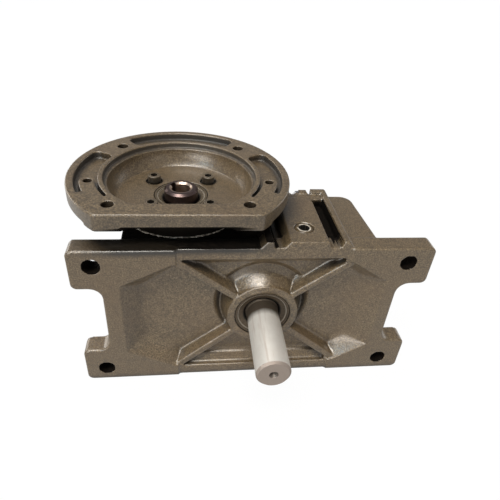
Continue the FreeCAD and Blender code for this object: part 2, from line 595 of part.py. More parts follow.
def wheel_rim():
    """Bronze rim: thirty involute teeth along the worm's lead angle, throated round the worm."""
    half = WHEEL_WIDTH / 2
    edge = 3.0
    blank = about_output([
        (RIM_INNER_R, WORM_Y - half), (WHEEL_OUTER_R - edge, WORM_Y - half),
        (WHEEL_OUTER_R, WORM_Y - half + edge), (WHEEL_OUTER_R, WORM_Y + half - edge),
        (WHEEL_OUTER_R - edge, WORM_Y + half), (RIM_INNER_R, WORM_Y + half),
    ])
    throat = Part.makeTorus(CENTRE_DISTANCE, CENTRE_DISTANCE - WHEEL_TIP_R, V(0, WORM_Y, 0), ALONG_Y)
    base_r = WHEEL_PITCH_R * math.cos(PRESSURE_ANGLE)
    tooth = math.pi * MODULE / 2 - BACKLASH

    def flank_angle(radius):
        """Half the angle of a tooth space at a radius."""
        tilt = math.acos(base_r / radius)
        thick = tooth / (2 * WHEEL_PITCH_R) + involute(PRESSURE_ANGLE) - involute(tilt)
        return math.pi / WHEEL_TEETH - thick

    radii = [base_r + (WHEEL_OUTER_R + 0.6 - base_r) * (i / 5) ** 2 for i in range(6)]
    rise = [(r, flank_angle(r)) for r in radii]
    lean = V(0, 1, LEAD / (2 * math.pi * WORM_PITCH_R)) * (WHEEL_WIDTH + 6)

    def at(radius, angle):
        return V(-radius * math.cos(angle), WORM_Y, radius * math.sin(angle)) - lean * 0.5

    flanks = []
    for sign in (1, -1):
        curve = Part.BSplineCurve()
        curve.interpolate([at(r, sign * a) for r, a in rise])
        flanks.append(curve.toShape())
    foot = rise[0][1]
    outline = [
        Part.makeLine(at(WHEEL_ROOT_R, foot), at(*rise[0])), flanks[0],
        Part.makeLine(at(*rise[-1]), at(rise[-1][0], -rise[-1][1])), flanks[1],
        Part.makeLine(at(rise[0][0], -foot), at(WHEEL_ROOT_R, -foot)),
        Part.makeLine(at(WHEEL_ROOT_R, -foot), at(WHEEL_ROOT_R, foot)),
    ]
    space = Part.Face(Part.Wire(Part.__sortEdges__(outline))).extrude(lean)
    spaces = []
    for i in range(WHEEL_TEETH):
        turned_space = space.copy()
        turned_space.rotate(ORIGIN, ALONG_Y, i * 360 / WHEEL_TEETH)
        spaces.append(turned_space)
    return blank.cut(throat).cut(Part.makeCompound(spaces))


def rim_screw_places():
    return [output_point(RIM_INNER_R, turn, WORM_Y - WHEEL_WIDTH / 2) for turn in (30, 150, 270)]


def wheel_hub():
    """Iron hub: bored and keyed boss, web and outer ring under the bronze rim."""
    ring_half = WHEEL_WIDTH / 2 - 1
    web_half = 6.0
    hub = about_output([
        (WHEEL_SEAT_R + SLIP_FIT, WORM_Y - HUB_HALF), (23, WORM_Y - HUB_HALF), (24, WORM_Y - web_half),
        (30, WORM_Y - web_half), (31, WORM_Y - ring_half), (RIM_INNER_R - SLIP_FIT, WORM_Y - ring_half),
        (RIM_INNER_R - SLIP_FIT, WORM_Y + ring_half), (31, WORM_Y + ring_half), (30, WORM_Y + web_half),
        (24, WORM_Y + web_half), (23, WORM_Y + HUB_HALF), (WHEEL_SEAT_R + SLIP_FIT, WORM_Y + HUB_HALF),
    ])
    reach = HUB_HALF + 1
    slot = box(V(-KEY_W / 2, WORM_Y - reach, 0), V(KEY_W / 2, WORM_Y + reach, WHEEL_SEAT_R + 3.3))
    return hub.cut(slot)


def key_block(clear):
    """Parallel key of the wheel, or its seat."""
    half = 16.0
    bottom = WHEEL_SEAT_R - 4
    return box(V(-KEY_W / 2 - clear, WORM_Y - half - clear, bottom - clear),
               V(KEY_W / 2 + clear, WORM_Y + half + clear, bottom + KEY_H))


def output_shaft():
    """Stepped steel shaft: ground extension, seal and bearing seats, collar and wheel seat."""
    end = REAR_BEARING_Y + BEARING_W - 0.3
    hub_front = WORM_Y - HUB_HALF
    hub_back = WORM_Y + HUB_HALF
    shaft = about_output([
        (0, OUTPUT_END), (OUTPUT_R - 1.5, OUTPUT_END), (OUTPUT_R, OUTPUT_END + 1.5), (OUTPUT_R, 1),
        (OUTPUT_R - OUTPUT_RELIEF, 1), (OUTPUT_R - OUTPUT_RELIEF, OUTPUT_SEAL_Y + 2.2),
        (SEAT_R, OUTPUT_SEAL_Y + 3.2), (SEAT_R, FRONT_BEARING_Y), (COLLAR_R, FRONT_BEARING_Y),
        (COLLAR_R, hub_front), (WHEEL_SEAT_R, hub_front), (WHEEL_SEAT_R, hub_back - 0.5),
        (SEAT_R, hub_back - 0.5), (SEAT_R, end - 1), (SEAT_R - 1, end), (0, end),
    ])
    centre_drill = about_output([(0, OUTPUT_END - 1), (3.2, OUTPUT_END - 1), (3.2, OUTPUT_END),
                                 (1.2, OUTPUT_END + 3.5), (1.2, OUTPUT_END + 6), (0, OUTPUT_END + 6.5)])
    depth = OUTPUT_R - 4
    keyway = box(V(-KEY_W / 2, OUTPUT_END + 8, -OUTPUT_R - 1), V(KEY_W / 2, OUTPUT_END + 40, -depth))
    keyway = keyway.makeFillet(KEY_W / 2 - 0.01, edges_along(keyway, ALONG_Z, lambda p: True))
    keyway.rotate(ORIGIN, ALONG_Y, KEYWAY_TURN)
    return shaft.cut(centre_drill).cut(keyway).cut(key_block(SLIP_FIT))


# Tapered roller bearings

TILT = math.radians(13)
TAPER = math.radians(2)
ROLLER_MID_W = 7.5
ROLLER_MID_R = 18.3
ROLLER_R = 3.0
ROLLER_LENGTH = 9.0
RACE_GAP = 0.04


def race(w, outer):
    """Radius of a raceway at a distance from the cone's back face."""
    angle = TILT + TAPER if outer else TILT - TAPER
    mid = ROLLER_MID_R + (1 if outer else -1) * ROLLER_R / math.cos(angle)
    return mid - math.tan(angle) * (w - ROLLER_MID_W)


def bearing_cup():
    return turned([(race(3.5, True), 3.5), (BEARING_R - SLIP_FIT, 3.5), (BEARING_R - SLIP_FIT, BEARING_W),
                   (race(BEARING_W, True), BEARING_W)])


def bearing_cone():
    bore = SEAT_R + SLIP_FIT
    return turned([(bore, 0), (18.2, 0), (18.2, 2.0), (race(2.0, False), 2.0), (race(12.2, False), 12.2),
                   (15.6, 12.2), (15.6, 14.5), (bore, 14.5)])


def at_roller(shape, index):
    """Shape drawn about Z at the roller's middle, set at one place of the roller ring."""
    shape.rotate(ORIGIN, ALONG_Y, -math.degrees(TILT))
    shape.translate(V(ROLLER_MID_R, 0, ROLLER_MID_W))
    shape.rotate(ORIGIN, ALONG_Z, index * 360 / ROLLERS)
    return shape


def bearing_rollers():
    half = ROLLER_LENGTH / 2
    change = half * math.tan(TAPER)
    mid = ROLLER_R - RACE_GAP
    rollers = []
    for i in range(ROLLERS):
        roller = Part.makeCone(mid + change, mid - change, ROLLER_LENGTH, V(0, 0, -half))
        rollers.append(at_roller(roller, i))
    return Part.makeCompound(rollers)


def bearing_cage():
    """Pressed cone-shaped cage with a window for each roller."""
    line = lambda w, offset: ROLLER_MID_R + offset - math.tan(TILT) * (w - ROLLER_MID_W)
    corners = ((1.9, 0.5), (1.9, 1.3), (13.2, 1.3), (13.2, 0.5))
    shell = turned([(line(w, offset), w) for w, offset in corners])
    half = ROLLER_LENGTH / 2 + 0.4
    windows = [at_roller(box(V(-4, -3.5, -half), V(4, 3.5, half)), i) for i in range(ROLLERS)]
    return shell.cut(Part.makeCompound(windows))


# Seals, covers and fasteners

def oil_seal(outer_r, at, along):
    """Lip seal: stiffened outer wall, grooved front with a conical face, sprung lip."""
    r = outer_r - SLIP_FIT
    lip = SEAT_R + RUN_FIT
    shell = [(r - 1.9, 0), (r - 0.4, 0), (r, 0.4), (r, SEAL_W), (r - 1.6, SEAL_W), (r - 1.9, 4.2)]
    sprung_lip = [(lip + 1.9, 4.4), (lip + 0.9, SEAL_W - 0.6), (lip, SEAL_W - 1.4),
                  (lip + 0.7, 3.4), (lip + 1.4, 2.6)]
    groove = [(r - 2.6, 1.2), (r - 2.6, 0.5), (r - 1.9, 0.5)]
    return turned(shell + sprung_lip + groove, at, along)


def seal_spring(at, along):
    """Garter spring round the lip of a seal."""
    return placed(Part.makeTorus(SEAT_R + RUN_FIT + 2.1, 0.6, V(0, 0, SEAL_W - 1.2)), at, along)


def cover_outline(low, high):
    """Round cover outline with four bolt ears, about the output axis."""
    return fused([rod(DRUM_R, V(0, low, 0), V(0, high, 0))] + cover_rods(COVER_EAR_R, low, high))


def cover_gasket():
    top = BARREL_BACK + GASKET
    sheet = cover_outline(BARREL_BACK, top)
    opening = rod(CHAMBER_R, V(0, BARREL_BACK - 1, 0), V(0, top + 1, 0))
    return sheet.cut(fused([opening] + cover_rods(M6_CLEAR, BARREL_BACK - 1, top + 1)))


def back_cover():
    """Back cover with its spigot, rear bearing seat and domed middle."""
    seat = BARREL_BACK + GASKET
    outer = seat + COVER_FLANGE
    bearing_end = REAR_BEARING_Y + BEARING_W
    flange = cover_outline(seat, outer)
    flange = flange.makeFillet(1.5, edges_at(flange, lambda p: abs(p.y - outer) < 1e-6))
    crown = bearing_end + 6
    middle = about_output([(0, outer - 1), (42, outer - 1), (40, outer + 1), (34, crown - 2),
                           (31, crown), (0, crown)])
    middle = middle.makeFillet(3.0, edges_at(middle, lambda p: abs(p.y - crown) < 1e-6))
    spigot = rod(CHAMBER_R - SLIP_FIT, V(0, seat - 4.5, 0), V(0, seat, 0))
    hollow = rod(46, V(0, seat - 5, 0), V(0, seat, 0))
    boss = rod(31, V(0, REAR_BEARING_Y - 1, 0), V(0, seat, 0))
    cover = fused([flange, middle, spigot.cut(hollow), boss])
    bore = rod(BEARING_R, V(0, REAR_BEARING_Y - 2, 0), V(0, bearing_end + SLIP_FIT, 0))
    return cover.cut(fused([bore] + cover_rods(M6_CLEAR, seat - 1, outer + 1)))


def hex_bolt(seat, direction, length):
    """M6 hexagon bolt, its head on the seat and its shank along the direction."""
    head = hexagon(10, seat, direction * -1, 4)
    crown = turned([(0, 0), (6.2, 0), (6.2, 3.2), (5.0, 4), (0, 4)], seat, direction * -1)
    shank = rod(M6_R - SLIP_FIT, seat, seat + direction * length)
    return head.common(crown).fuse(shank)


def washer(seat, direction):
    """Spring washer under a bolt head."""
    disc = rod(5.2, seat, seat - direction * WASHER_T)
    return disc.cut(rod(M6_CLEAR, seat + direction, seat - direction * 2))


def socket_screw(seat, direction, length):
    """M6 socket head screw, its head on the seat."""
    head = turned([(0, 0), (5, 0), (5, 5.6), (4.6, 6), (0, 6)], seat, direction * -1)
    socket = hexagon(5, seat - direction * 3, direction * -1, 4)
    return head.fuse(rod(M6_R - SLIP_FIT, seat, seat + direction * length)).cut(socket)


def worm_holes(bolt_r, low, high):
    """Four clearance holes on a circle about the worm axis."""
    return [rod(M6_CLEAR, worm_point(bolt_r, t, low), worm_point(bolt_r, t, high)) for t in QUARTERS]


def worm_end_cap():
    """Blind cap over the lower worm bearing."""
    top = BARREL_BOTTOM - GASKET
    cup_back = LOWER_BEARING_Z - BEARING_W
    cap = about_worm([
        (0, top - CAP_T), (CAP_R - 1.5, top - CAP_T), (CAP_R, top - CAP_T + 1.5), (CAP_R, top),
        (BEARING_R - SLIP_FIT, top), (BEARING_R - SLIP_FIT, cup_back - SLIP_FIT),
        (18.5, cup_back - SLIP_FIT), (18.5, top + 0.3), (0, top + 0.3),
    ])
    return cap.cut(fused(worm_holes(CAP_BOLT_R, top - CAP_T - 1, top + 1)))


def ring_gasket(z, outer, bolt_r):
    """Flat gasket about the worm axis."""
    sheet = rod(outer, V(WORM_X, WORM_Y, z), V(WORM_X, WORM_Y, z + GASKET))
    opening = rod(BEARING_R, V(WORM_X, WORM_Y, z - 1), V(WORM_X, WORM_Y, z + 2))
    return sheet.cut(fused([opening] + worm_holes(bolt_r, z - 1, z + 2)))


def plug(seat, inward):
    """Hexagon socket pipe plug, flush with its boss."""
    edge = PLUG_R - SLIP_FIT
    body = turned([(0, 0), (edge - 0.8, 0), (edge, 0.8), (edge, 7), (0, 7)], seat, inward)
    return body.cut(hexagon(7, seat - inward, inward, 5))


def group(make, places, *rest):
    """Like fasteners at several places, as separate solids."""
    return Part.makeCompound([make(place, *rest) for place in places])


def build():
    down = V(0, 0, -1)
    front = V(0, -1, 0)
    cover_seat = BARREL_BACK + GASKET + COVER_FLANGE
    cap_seat = BARREL_BOTTOM - GASKET - CAP_T
    screw_places = [worm_point(FLANGE_SCREW_R, t, SCREW_SEAT) for t in QUARTERS]
    cap_places = [worm_point(CAP_BOLT_R, t, cap_seat) for t in QUARTERS]
    cover_places = [output_point(COVER_BOLT_R, t, cover_seat) for t in QUARTERS]
    rim_screws = [rod(2.4, p + V(0, 1.2, 0), p + V(0, 12, 0)) for p in rim_screw_places()]
    screw_holes = fused([rod(2.4 + SLIP_FIT, p - V(0, 1, 0), p + V(0, 12.5, 0)) for p in rim_screw_places()])
    hub_back = WORM_Y + HUB_HALF
    spacer = [(SEAT_R + SLIP_FIT, hub_back), (COLLAR_R, hub_back),
              (COLLAR_R, REAR_BEARING_Y), (SEAT_R + SLIP_FIT, REAR_BEARING_Y)]
    nodes = {
        "housing": housing(),
        "motor_flange": motor_flange(),
        "flange_gasket": ring_gasket(CASE_TOP, NECK_R, FLANGE_SCREW_R),
        "flange_screws": group(socket_screw, [p + V(0, 0, WASHER_T) for p in screw_places], down, 22),
        "flange_washers": group(washer, screw_places, down),
        "worm_shaft": worm_shaft(),
        "input_oil_seal": oil_seal(INPUT_SEAL_R, V(WORM_X, WORM_Y, INPUT_SEAL_Z + SEAL_W), down),
        "input_seal_spring": seal_spring(V(WORM_X, WORM_Y, INPUT_SEAL_Z + SEAL_W), down),
        "worm_end_cap": worm_end_cap(),
        "end_cap_shim": ring_gasket(BARREL_BOTTOM - GASKET, CAP_R, CAP_BOLT_R),
        "end_cap_bolts": group(hex_bolt, cap_places, ALONG_Z, 16),
        "output_shaft": output_shaft(),
        "wheel_key": key_block(0),
        "wheel_hub": wheel_hub().cut(screw_holes),
        "wheel_rim": wheel_rim().cut(screw_holes),
        "rim_screws": Part.makeCompound(rim_screws),
        "rear_spacer": about_output(spacer),
        "output_oil_seal": oil_seal(OUTPUT_SEAL_R, V(0, OUTPUT_SEAL_Y, 0), ALONG_Y),
        "output_seal_spring": seal_spring(V(0, OUTPUT_SEAL_Y, 0), ALONG_Y),
        "back_cover": back_cover(),
        "cover_gasket": cover_gasket(),
        "cover_bolts": group(hex_bolt, [p + V(0, WASHER_T, 0) for p in cover_places], front, 20),
        "cover_washers": group(washer, cover_places, front),
        "filler_plug": plug(V(PLUG_X, PLUG_Y, RIB_TOP - 0.3), down),
        "drain_plug": plug(V(PLUG_X, PLUG_Y + 2, -PLATE_TOP + 0.5), ALONG_Z),
    }
    bearings = {
        "upper_worm_bearing": (V(WORM_X, WORM_Y, UPPER_BEARING_Z), ALONG_Z),
        "lower_worm_bearing": (V(WORM_X, WORM_Y, LOWER_BEARING_Z), down),
        "front_output_bearing": (V(0, FRONT_BEARING_Y, 0), front),
        "rear_output_bearing": (V(0, REAR_BEARING_Y, 0), ALONG_Y),
    }
    pieces = {"cup": bearing_cup, "cone": bearing_cone, "rollers": bearing_rollers, "cage": bearing_cage}
    for name, (at, along) in bearings.items():
        for piece, make in pieces.items():
            nodes[name + "_" + piece] = placed(make(), at, along)
    return nodes


os.makedirs("parts", exist_ok=True)
for name, shape in build().items():
    shape.exportStep("parts/" + name + ".step")
    print(name, len(shape.Solids), round(shape.Volume), shape.isValid())
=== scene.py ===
import math

import bpy
from mathutils import Matrix, Vector


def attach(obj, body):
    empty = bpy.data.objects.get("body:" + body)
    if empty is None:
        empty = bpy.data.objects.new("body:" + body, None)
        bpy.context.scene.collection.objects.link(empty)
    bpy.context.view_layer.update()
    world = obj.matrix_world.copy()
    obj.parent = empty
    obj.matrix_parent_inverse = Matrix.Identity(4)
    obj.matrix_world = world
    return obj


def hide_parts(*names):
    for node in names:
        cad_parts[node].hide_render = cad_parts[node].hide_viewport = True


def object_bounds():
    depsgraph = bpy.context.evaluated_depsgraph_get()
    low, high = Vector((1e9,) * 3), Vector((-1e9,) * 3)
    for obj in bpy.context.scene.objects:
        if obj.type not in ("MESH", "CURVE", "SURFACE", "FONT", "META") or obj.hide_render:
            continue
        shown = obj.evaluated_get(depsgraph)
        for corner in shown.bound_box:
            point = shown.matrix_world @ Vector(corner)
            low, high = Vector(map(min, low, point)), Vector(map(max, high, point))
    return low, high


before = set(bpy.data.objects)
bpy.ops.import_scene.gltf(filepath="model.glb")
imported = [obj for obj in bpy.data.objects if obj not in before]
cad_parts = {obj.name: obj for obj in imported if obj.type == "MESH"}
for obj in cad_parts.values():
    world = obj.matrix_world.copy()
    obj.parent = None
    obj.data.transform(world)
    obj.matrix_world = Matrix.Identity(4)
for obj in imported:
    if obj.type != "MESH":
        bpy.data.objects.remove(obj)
cad_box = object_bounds()
MM = 0.001


# Case: an iron sand casting with soft edges and a slightly uneven skin, sprayed in one
# grey-brown enamel after the reducer is put together. It carries every other piece.

JOIN_WITHIN = 0.001 * MM
RUN_OUT_STEPS = 180


def only(piece):
    """Select one piece and nothing else."""
    bpy.ops.object.select_all(action="DESELECT")
    piece.select_set(True)
    bpy.context.view_layer.objects.active = piece


def shaped(piece, kind, **settings):
    """Put a modifier on a piece and apply it."""
    only(piece)
    step = piece.modifiers.new(kind.lower(), kind)
    for name, value in settings.items():
        setattr(step, name, value)
    bpy.ops.object.modifier_apply(modifier=step.name)


def pick(piece, part, test):
    """Go into edit mode with only the vertices, edges or faces selected that pass a test."""
    only(piece)
    bpy.ops.object.mode_set(mode="EDIT")
    bpy.ops.mesh.select_mode(type={"vertices": "VERT", "edges": "EDGE", "polygons": "FACE"}[part])
    bpy.ops.mesh.select_all(action="DESELECT")
    bpy.ops.object.mode_set(mode="OBJECT")
    for item in getattr(piece.data, part):
        item.select = test(item)
    bpy.ops.object.mode_set(mode="EDIT")


def merged_copy(node, name):
    """A copy of a solid with its loose triangles joined, to be worked on by hand."""
    piece = bpy.data.objects.new(name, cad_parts[node].data.copy())
    bpy.context.scene.collection.objects.link(piece)
    piece.data.materials.clear()
    only(piece)
    bpy.ops.object.mode_set(mode="EDIT")
    bpy.ops.mesh.select_all(action="SELECT")
    bpy.ops.mesh.remove_doubles(threshold=JOIN_WITHIN)
    bpy.ops.object.mode_set(mode="OBJECT")
    return piece


def cast_skin(node, name, grain, triangles, extra=(), hollows=None):
    """The rounded skin of a casting, from its machined solid and what was cast on to it.

    Hollows gives a place's share, 0 to 1, in the softly run-out bottoms of the mould.
    """
    piece = merged_copy(node, name)
    for lump in extra:
        only(piece)
        lump.select_set(True)
        bpy.ops.object.join()
    shaped(piece, "REMESH", mode="VOXEL", voxel_size=grain, use_smooth_shade=True)
    shaped(piece, "SMOOTH", factor=0.5, iterations=3)
    if hollows:
        group = piece.vertex_groups.new(name="hollows")
        for vertex in piece.data.vertices:
            share = hollows(vertex.co)
            if share > 0:
                group.add([vertex.index], share, "REPLACE")
        shaped(piece, "SMOOTH", factor=0.5, iterations=RUN_OUT_STEPS, vertex_group=group.name)
        piece.vertex_groups.clear()
    count = sum(len(face.vertices) - 2 for face in piece.data.polygons)
    shaped(piece, "DECIMATE", ratio=min(1.0, triangles / count), use_collapse_triangulate=True)
    shaped(piece, "WEIGHTED_NORMAL", weight=60)
    return piece


def stands_for(piece, node, body):
    """The piece is shown in place of a solid and moves with its body."""
    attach(piece, body)
    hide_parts(node)


def finish_of(name):
    """A new material, its node tree and its shader."""
    material = bpy.data.materials.new(name)
    material.use_nodes = True
    tree = material.node_tree
    return material, tree, tree.nodes["Principled BSDF"]


def add(tree, kind, inputs=None, **settings):
    """A node with its settings; inputs are values or sockets to link."""
    node = tree.nodes.new("ShaderNode" + kind)
    for name, value in settings.items():
        setattr(node, name, value)
    for name, value in (inputs or {}).items():
        if isinstance(value, bpy.types.NodeSocket):
            tree.links.new(value, node.inputs[name])
        else:
            node.inputs[name].default_value = value
    return node


def reckon(tree, operation, *values):
    """A number worked out from numbers or sockets."""
    return add(tree, "Math", dict(enumerate(values)), operation=operation).outputs[0]


def place_in(tree):
    """Object coordinates, in metres."""
    return add(tree, "TexCoord").outputs["Object"]


def noise(tree, at, scale, detail=2.0, roughness=0.5):
    """Noise about 1 / scale metres in grain, from 0 to 1."""
    inputs = {"Vector": at, "Scale": scale, "Detail": detail, "Roughness": roughness}
    return add(tree, "TexNoise", inputs).outputs["Fac"]


def spread(tree, value, low, high, to_low=0.0, to_high=1.0):
    """A value mapped from one range to another, held at its ends."""
    inputs = {"Value": value, "From Min": low, "From Max": high, "To Min": to_low, "To Max": to_high}
    return add(tree, "MapRange", inputs).outputs["Result"]


def mixed(tree, factor, first, second, blend="MIX"):
    """Two colours mixed by a factor."""
    node = add(tree, "Mix", data_type="RGBA", blend_type=blend)
    for index, value in ((0, factor), (6, first), (7, second)):
        if isinstance(value, bpy.types.NodeSocket):
            tree.links.new(value, node.inputs[index])
        else:
            node.inputs[index].default_value = value
    return node.outputs[2]


def colours(tree, value, stops):
    """A colour ramp from (position, colour) stops."""
    node = add(tree, "ValToRGB", {"Fac": value})
    ramp = node.color_ramp
    ramp.elements[0].position, ramp.elements[0].color = stops[0]
    ramp.elements[1].position, ramp.elements[1].color = stops[-1]
    for position, colour in stops[1:-1]:
        ramp.elements.new(position).color = colour
    return node.outputs["Color"]


def bumped(tree, height, strength, distance, normal=None):
    """Normal with a height on it, a distance in metres for a full step."""
    inputs = {"Height": height, "Strength": strength, "Distance": distance}
    if normal:
        inputs["Normal"] = normal
    return add(tree, "Bump", inputs).outputs["Normal"]


def into(tree, socket, shader, name):
    """Link a value to one of the shader's inputs."""
    tree.links.new(socket, shader.inputs[name])


ENAMEL_DARK = (0.03, 0.02, 0.01, 1)
ENAMEL = (0.118, 0.083, 0.044, 1)
ENAMEL_PALE = (0.24, 0.178, 0.104, 1)
ENAMEL_WARM = (0.12, 0.074, 0.036, 1)
# Pale paint on edges: worn paint, and painted highlight along rounded edges.
ENAMEL_WEAR_AND_HIGHLIGHT = (0.3, 0.245, 0.17, 1)
# Near-black colour for painted shade in corners and on the flange's pocket walls.
ENAMEL_SHADE = (0.016, 0.011, 0.006, 1)
# Near-black colour for painted shade in deep gaps.
GAP_SHADE_TINT = (0.007, 0.0055, 0.004, 1)
ALONG_Y, ALONG_Z = 1, 2
MOTOR_AXIS = Vector((-60, 62, 0)) * MM


def from_axis(tree, at, axis_point, axis):
    """Distance from an axis through a point, in metres."""
    flat = [1.0, 1.0, 1.0]
    flat[axis] = 0.0
    level = add(tree, "VectorMath", {0: at, 1: flat}, operation="MULTIPLY").outputs[0]
    return add(tree, "VectorMath", {0: level, 1: axis_point}, operation="DISTANCE").outputs["Value"]


def shade_under_flange(tree, at):
    """How far a place lies in the narrow gap under the motor flange, painted near-black as shade."""
    height = add(tree, "SeparateXYZ", {"Vector": at}).outputs["Z"]
    normal = add(tree, "NewGeometry").outputs["Normal"]
    facing = add(tree, "SeparateXYZ", {"Vector": normal}).outputs["Z"]
    below_bell = spread(tree, height, 70.2 * MM, 69.6 * MM)
    hidden = reckon(tree, "MAXIMUM", below_bell, spread(tree, facing, 0.1, -0.2))
    near = spread(tree, from_axis(tree, at, MOTOR_AXIS, ALONG_Z), 96 * MM, 74 * MM)
    near = reckon(tree, "MULTIPLY", near, spread(tree, height, 56 * MM, 60 * MM, 0.0, 0.95))
    return reckon(tree, "MULTIPLY", hidden, near)


def shade_in_flange(tree, at):
    """Painted shade along the outer walls of the flange's pockets and of its register, where shadow
    falls.
    """
    apart = add(tree, "SeparateXYZ", {"Vector": at}).outputs
    waver = spread(tree, noise(tree, at, 160, 3.0, 0.6), 0.3, 0.7, -1.2 * MM, 1.2 * MM)
    reach = reckon(tree, "ADD", from_axis(tree, at, MOTOR_AXIS, ALONG_Z), waver)
    pocket = spread(tree, reach, 69.5 * MM, 73.5 * MM, 0.0, 0.9)
    register = reckon(tree, "MULTIPLY", spread(tree, reach, 52.2 * MM, 54.6 * MM, 0.0, 0.8),
                      spread(tree, reach, 58.0 * MM, 56.6 * MM))
    flange_shade = reckon(tree, "MAXIMUM", pocket, register)
    below_face = spread(tree, apart["Z"], 87.5 * MM, 86.6 * MM)
    above_back = spread(tree, apart["Z"], 80.5 * MM, 81.5 * MM)
    inside_rim = spread(tree, reach, 78.2 * MM, 77.2 * MM)
    behind_flat = spread(tree, apart["Y"], 6 * MM, 8 * MM)
    for share in (below_face, above_back, inside_rim, behind_flat):
        flange_shade = reckon(tree, "MULTIPLY", flange_shade, share)
    return flange_shade


def enamel_finish(name, shade_share=0.0):
    """Metal-flake enamel on sand-cast iron: grit, orange peel, edges lighter for wear and painted
    highlight, painted shade in corners and gaps.
    """
    material, tree, shader = finish_of(name)
    at = place_in(tree)
    grit = noise(tree, at, 1050, 2.5, 0.6)
    peel = noise(tree, at, 430, 2.0, 0.5)
    mottle = noise(tree, at, 230, 4.0, 0.7)
    cloud = noise(tree, at, 24, 3.0, 0.5)
    tint = colours(tree, grit, [(0.32, ENAMEL_DARK), (0.5, ENAMEL), (0.68, ENAMEL_PALE)])
    # Mottle towards dark paint; the share given darkens a whole copy of the enamel as painted shade.
    tint = mixed(tree, spread(tree, mottle, 0.46, 0.72, shade_share, shade_share + 0.6), tint, ENAMEL_DARK)
    tint = mixed(tree, spread(tree, cloud, 0.35, 0.7, 0.0, 0.35), tint, ENAMEL_WARM)
    # Edges painted lighter: worn paint, and painted highlight along rounded edges.
    edge = add(tree, "AmbientOcclusion", {"Distance": 1.6 * MM}, samples=6, inside=True)
    edge_wear_and_highlight = spread(tree, edge.outputs["AO"], 0.7, 0.35, 0.0, 0.7)
    tint = mixed(tree, edge_wear_and_highlight, tint, ENAMEL_WEAR_AND_HIGHLIGHT)
    # Painted shade: inner corners, creases and recesses darkened.
    corner = add(tree, "AmbientOcclusion", {"Distance": 9 * MM}, samples=8)
    corner_shade = spread(tree, corner.outputs["AO"], 0.86, 0.48, 0.0, 0.85)
    tint = mixed(tree, corner_shade, tint, ENAMEL_SHADE)
    # Painted shade on the flange's pocket and register walls, which are also made rougher.
    flange_shade = shade_in_flange(tree, at)
    tint = mixed(tree, flange_shade, tint, ENAMEL_SHADE)
    # Painted shade: deep gaps and the gap under the flange turn near-black.
    gap = add(tree, "AmbientOcclusion", {"Distance": 30 * MM}, samples=8)
    gap_shade = spread(tree, gap.outputs["AO"], 0.5, 0.24, 0.0, 0.97)
    gap_shade = reckon(tree, "MAXIMUM", gap_shade, shade_under_flange(tree, at))
    tint = mixed(tree, gap_shade, tint, GAP_SHADE_TINT)
    into(tree, tint, shader, "Base Color")
    gloss = spread(tree, peel, 0.3, 0.7, 0.28, 0.42)
    into(tree, reckon(tree, "MULTIPLY_ADD", flange_shade, 0.4, gloss), shader, "Roughness")
    skin = bumped(tree, cloud, 0.5, 0.4 * MM)
    skin = bumped(tree, peel, 0.8, 0.28 * MM, skin)
    skin = bumped(tree, grit, 0.3, 0.1 * MM, skin)
    into(tree, skin, shader, "Normal")
    shader.inputs["Metallic"].default_value = 0.1
    shader.inputs["Specular IOR Level"].default_value = 0.9
    shader.inputs["Coat Weight"].default_value = 0.4
    shader.inputs["Coat Roughness"].default_value = 0.3
    return material


def dark_iron_finish(name, dark, rust_tint):
    """Dark, dull iron with a trace of rust, for hole walls and, near-black, as painted shade in gaps."""
    material, tree, shader = finish_of(name)
    at = place_in(tree)
    rust = noise(tree, at, 380, 3.0, 0.6)
    into(tree, colours(tree, rust, [(0.3, dark + (1,)), (0.75, rust_tint + (1,))]), shader, "Base Color")
    into(tree, spread(tree, rust, 0.3, 0.7, 0.6, 0.85), shader, "Roughness")
    into(tree, bumped(tree, rust, 0.4, 0.08 * MM), shader, "Normal")
    shader.inputs["Specular IOR Level"].default_value = 0.05
    return material


def give_faces_finish(piece, index, test):
    """Faces of a casting that pass a test take one of its dark finishes."""
    for face in piece.data.polygons:
        if test(face):
            face.material_index = index


LEVEL = 0.75


def in_holes(holes, radius, axis):
    """Test for the walls of drilled holes along an axis."""
    def inside(face):
        """Whether a face stands in one of the holes, along its axis."""
        across = [face.center - hole for hole in holes]
        flat = [math.hypot(*(v for i, v in enumerate(gap) if i != axis)) for gap in across]
        return abs(face.normal[axis]) < LEVEL and min(flat) < radius
    return inside


def from_motor_axis(face):
    """Distance of a face from the worm's axis."""
    return math.hypot(face.center.x - MOTOR_AXIS.x, face.center.y - MOTOR_AXIS.y)


PLATE_BACK, PLATE_STEP, GAP_LOW, GAP_HIGH, GAP_END, GAP_R = (
    v * MM for v in (15, -53, 57.5, 69.6, 6, 88))


def case_gap(face):
    """The top of the case under the flange, behind the mounting plate and on its thick part, given
    near-black painted shade.
    """
    at = face.center
    hidden = at.y > PLATE_BACK or at.x > PLATE_STEP and face.normal.z > LEVEL
    return GAP_LOW < at.z < GAP_HIGH and hidden and at.x < GAP_END and from_motor_axis(face) < GAP_R


CHANNEL_LEFT, CHANNEL_RIGHT, CHANNEL_FRONT, CHANNEL_END = (v * MM for v in (45, 51.4, 8, 64.4))
CHANNEL_LOW, CHANNEL_BED, CHANNEL_LIP = (v * MM for v in (56.5, 62.6, 65.8))


def in_channel(face):
    """The cast groove beside the filler plug, given near-black painted shade."""
    at = face.center
    wall = face.normal.x < -0.3 or at.z < CHANNEL_BED
    across = CHANNEL_LEFT < at.x < CHANNEL_RIGHT and CHANNEL_FRONT < at.y < CHANNEL_END
    return across and CHANNEL_LOW < at.z < CHANNEL_LIP and wall


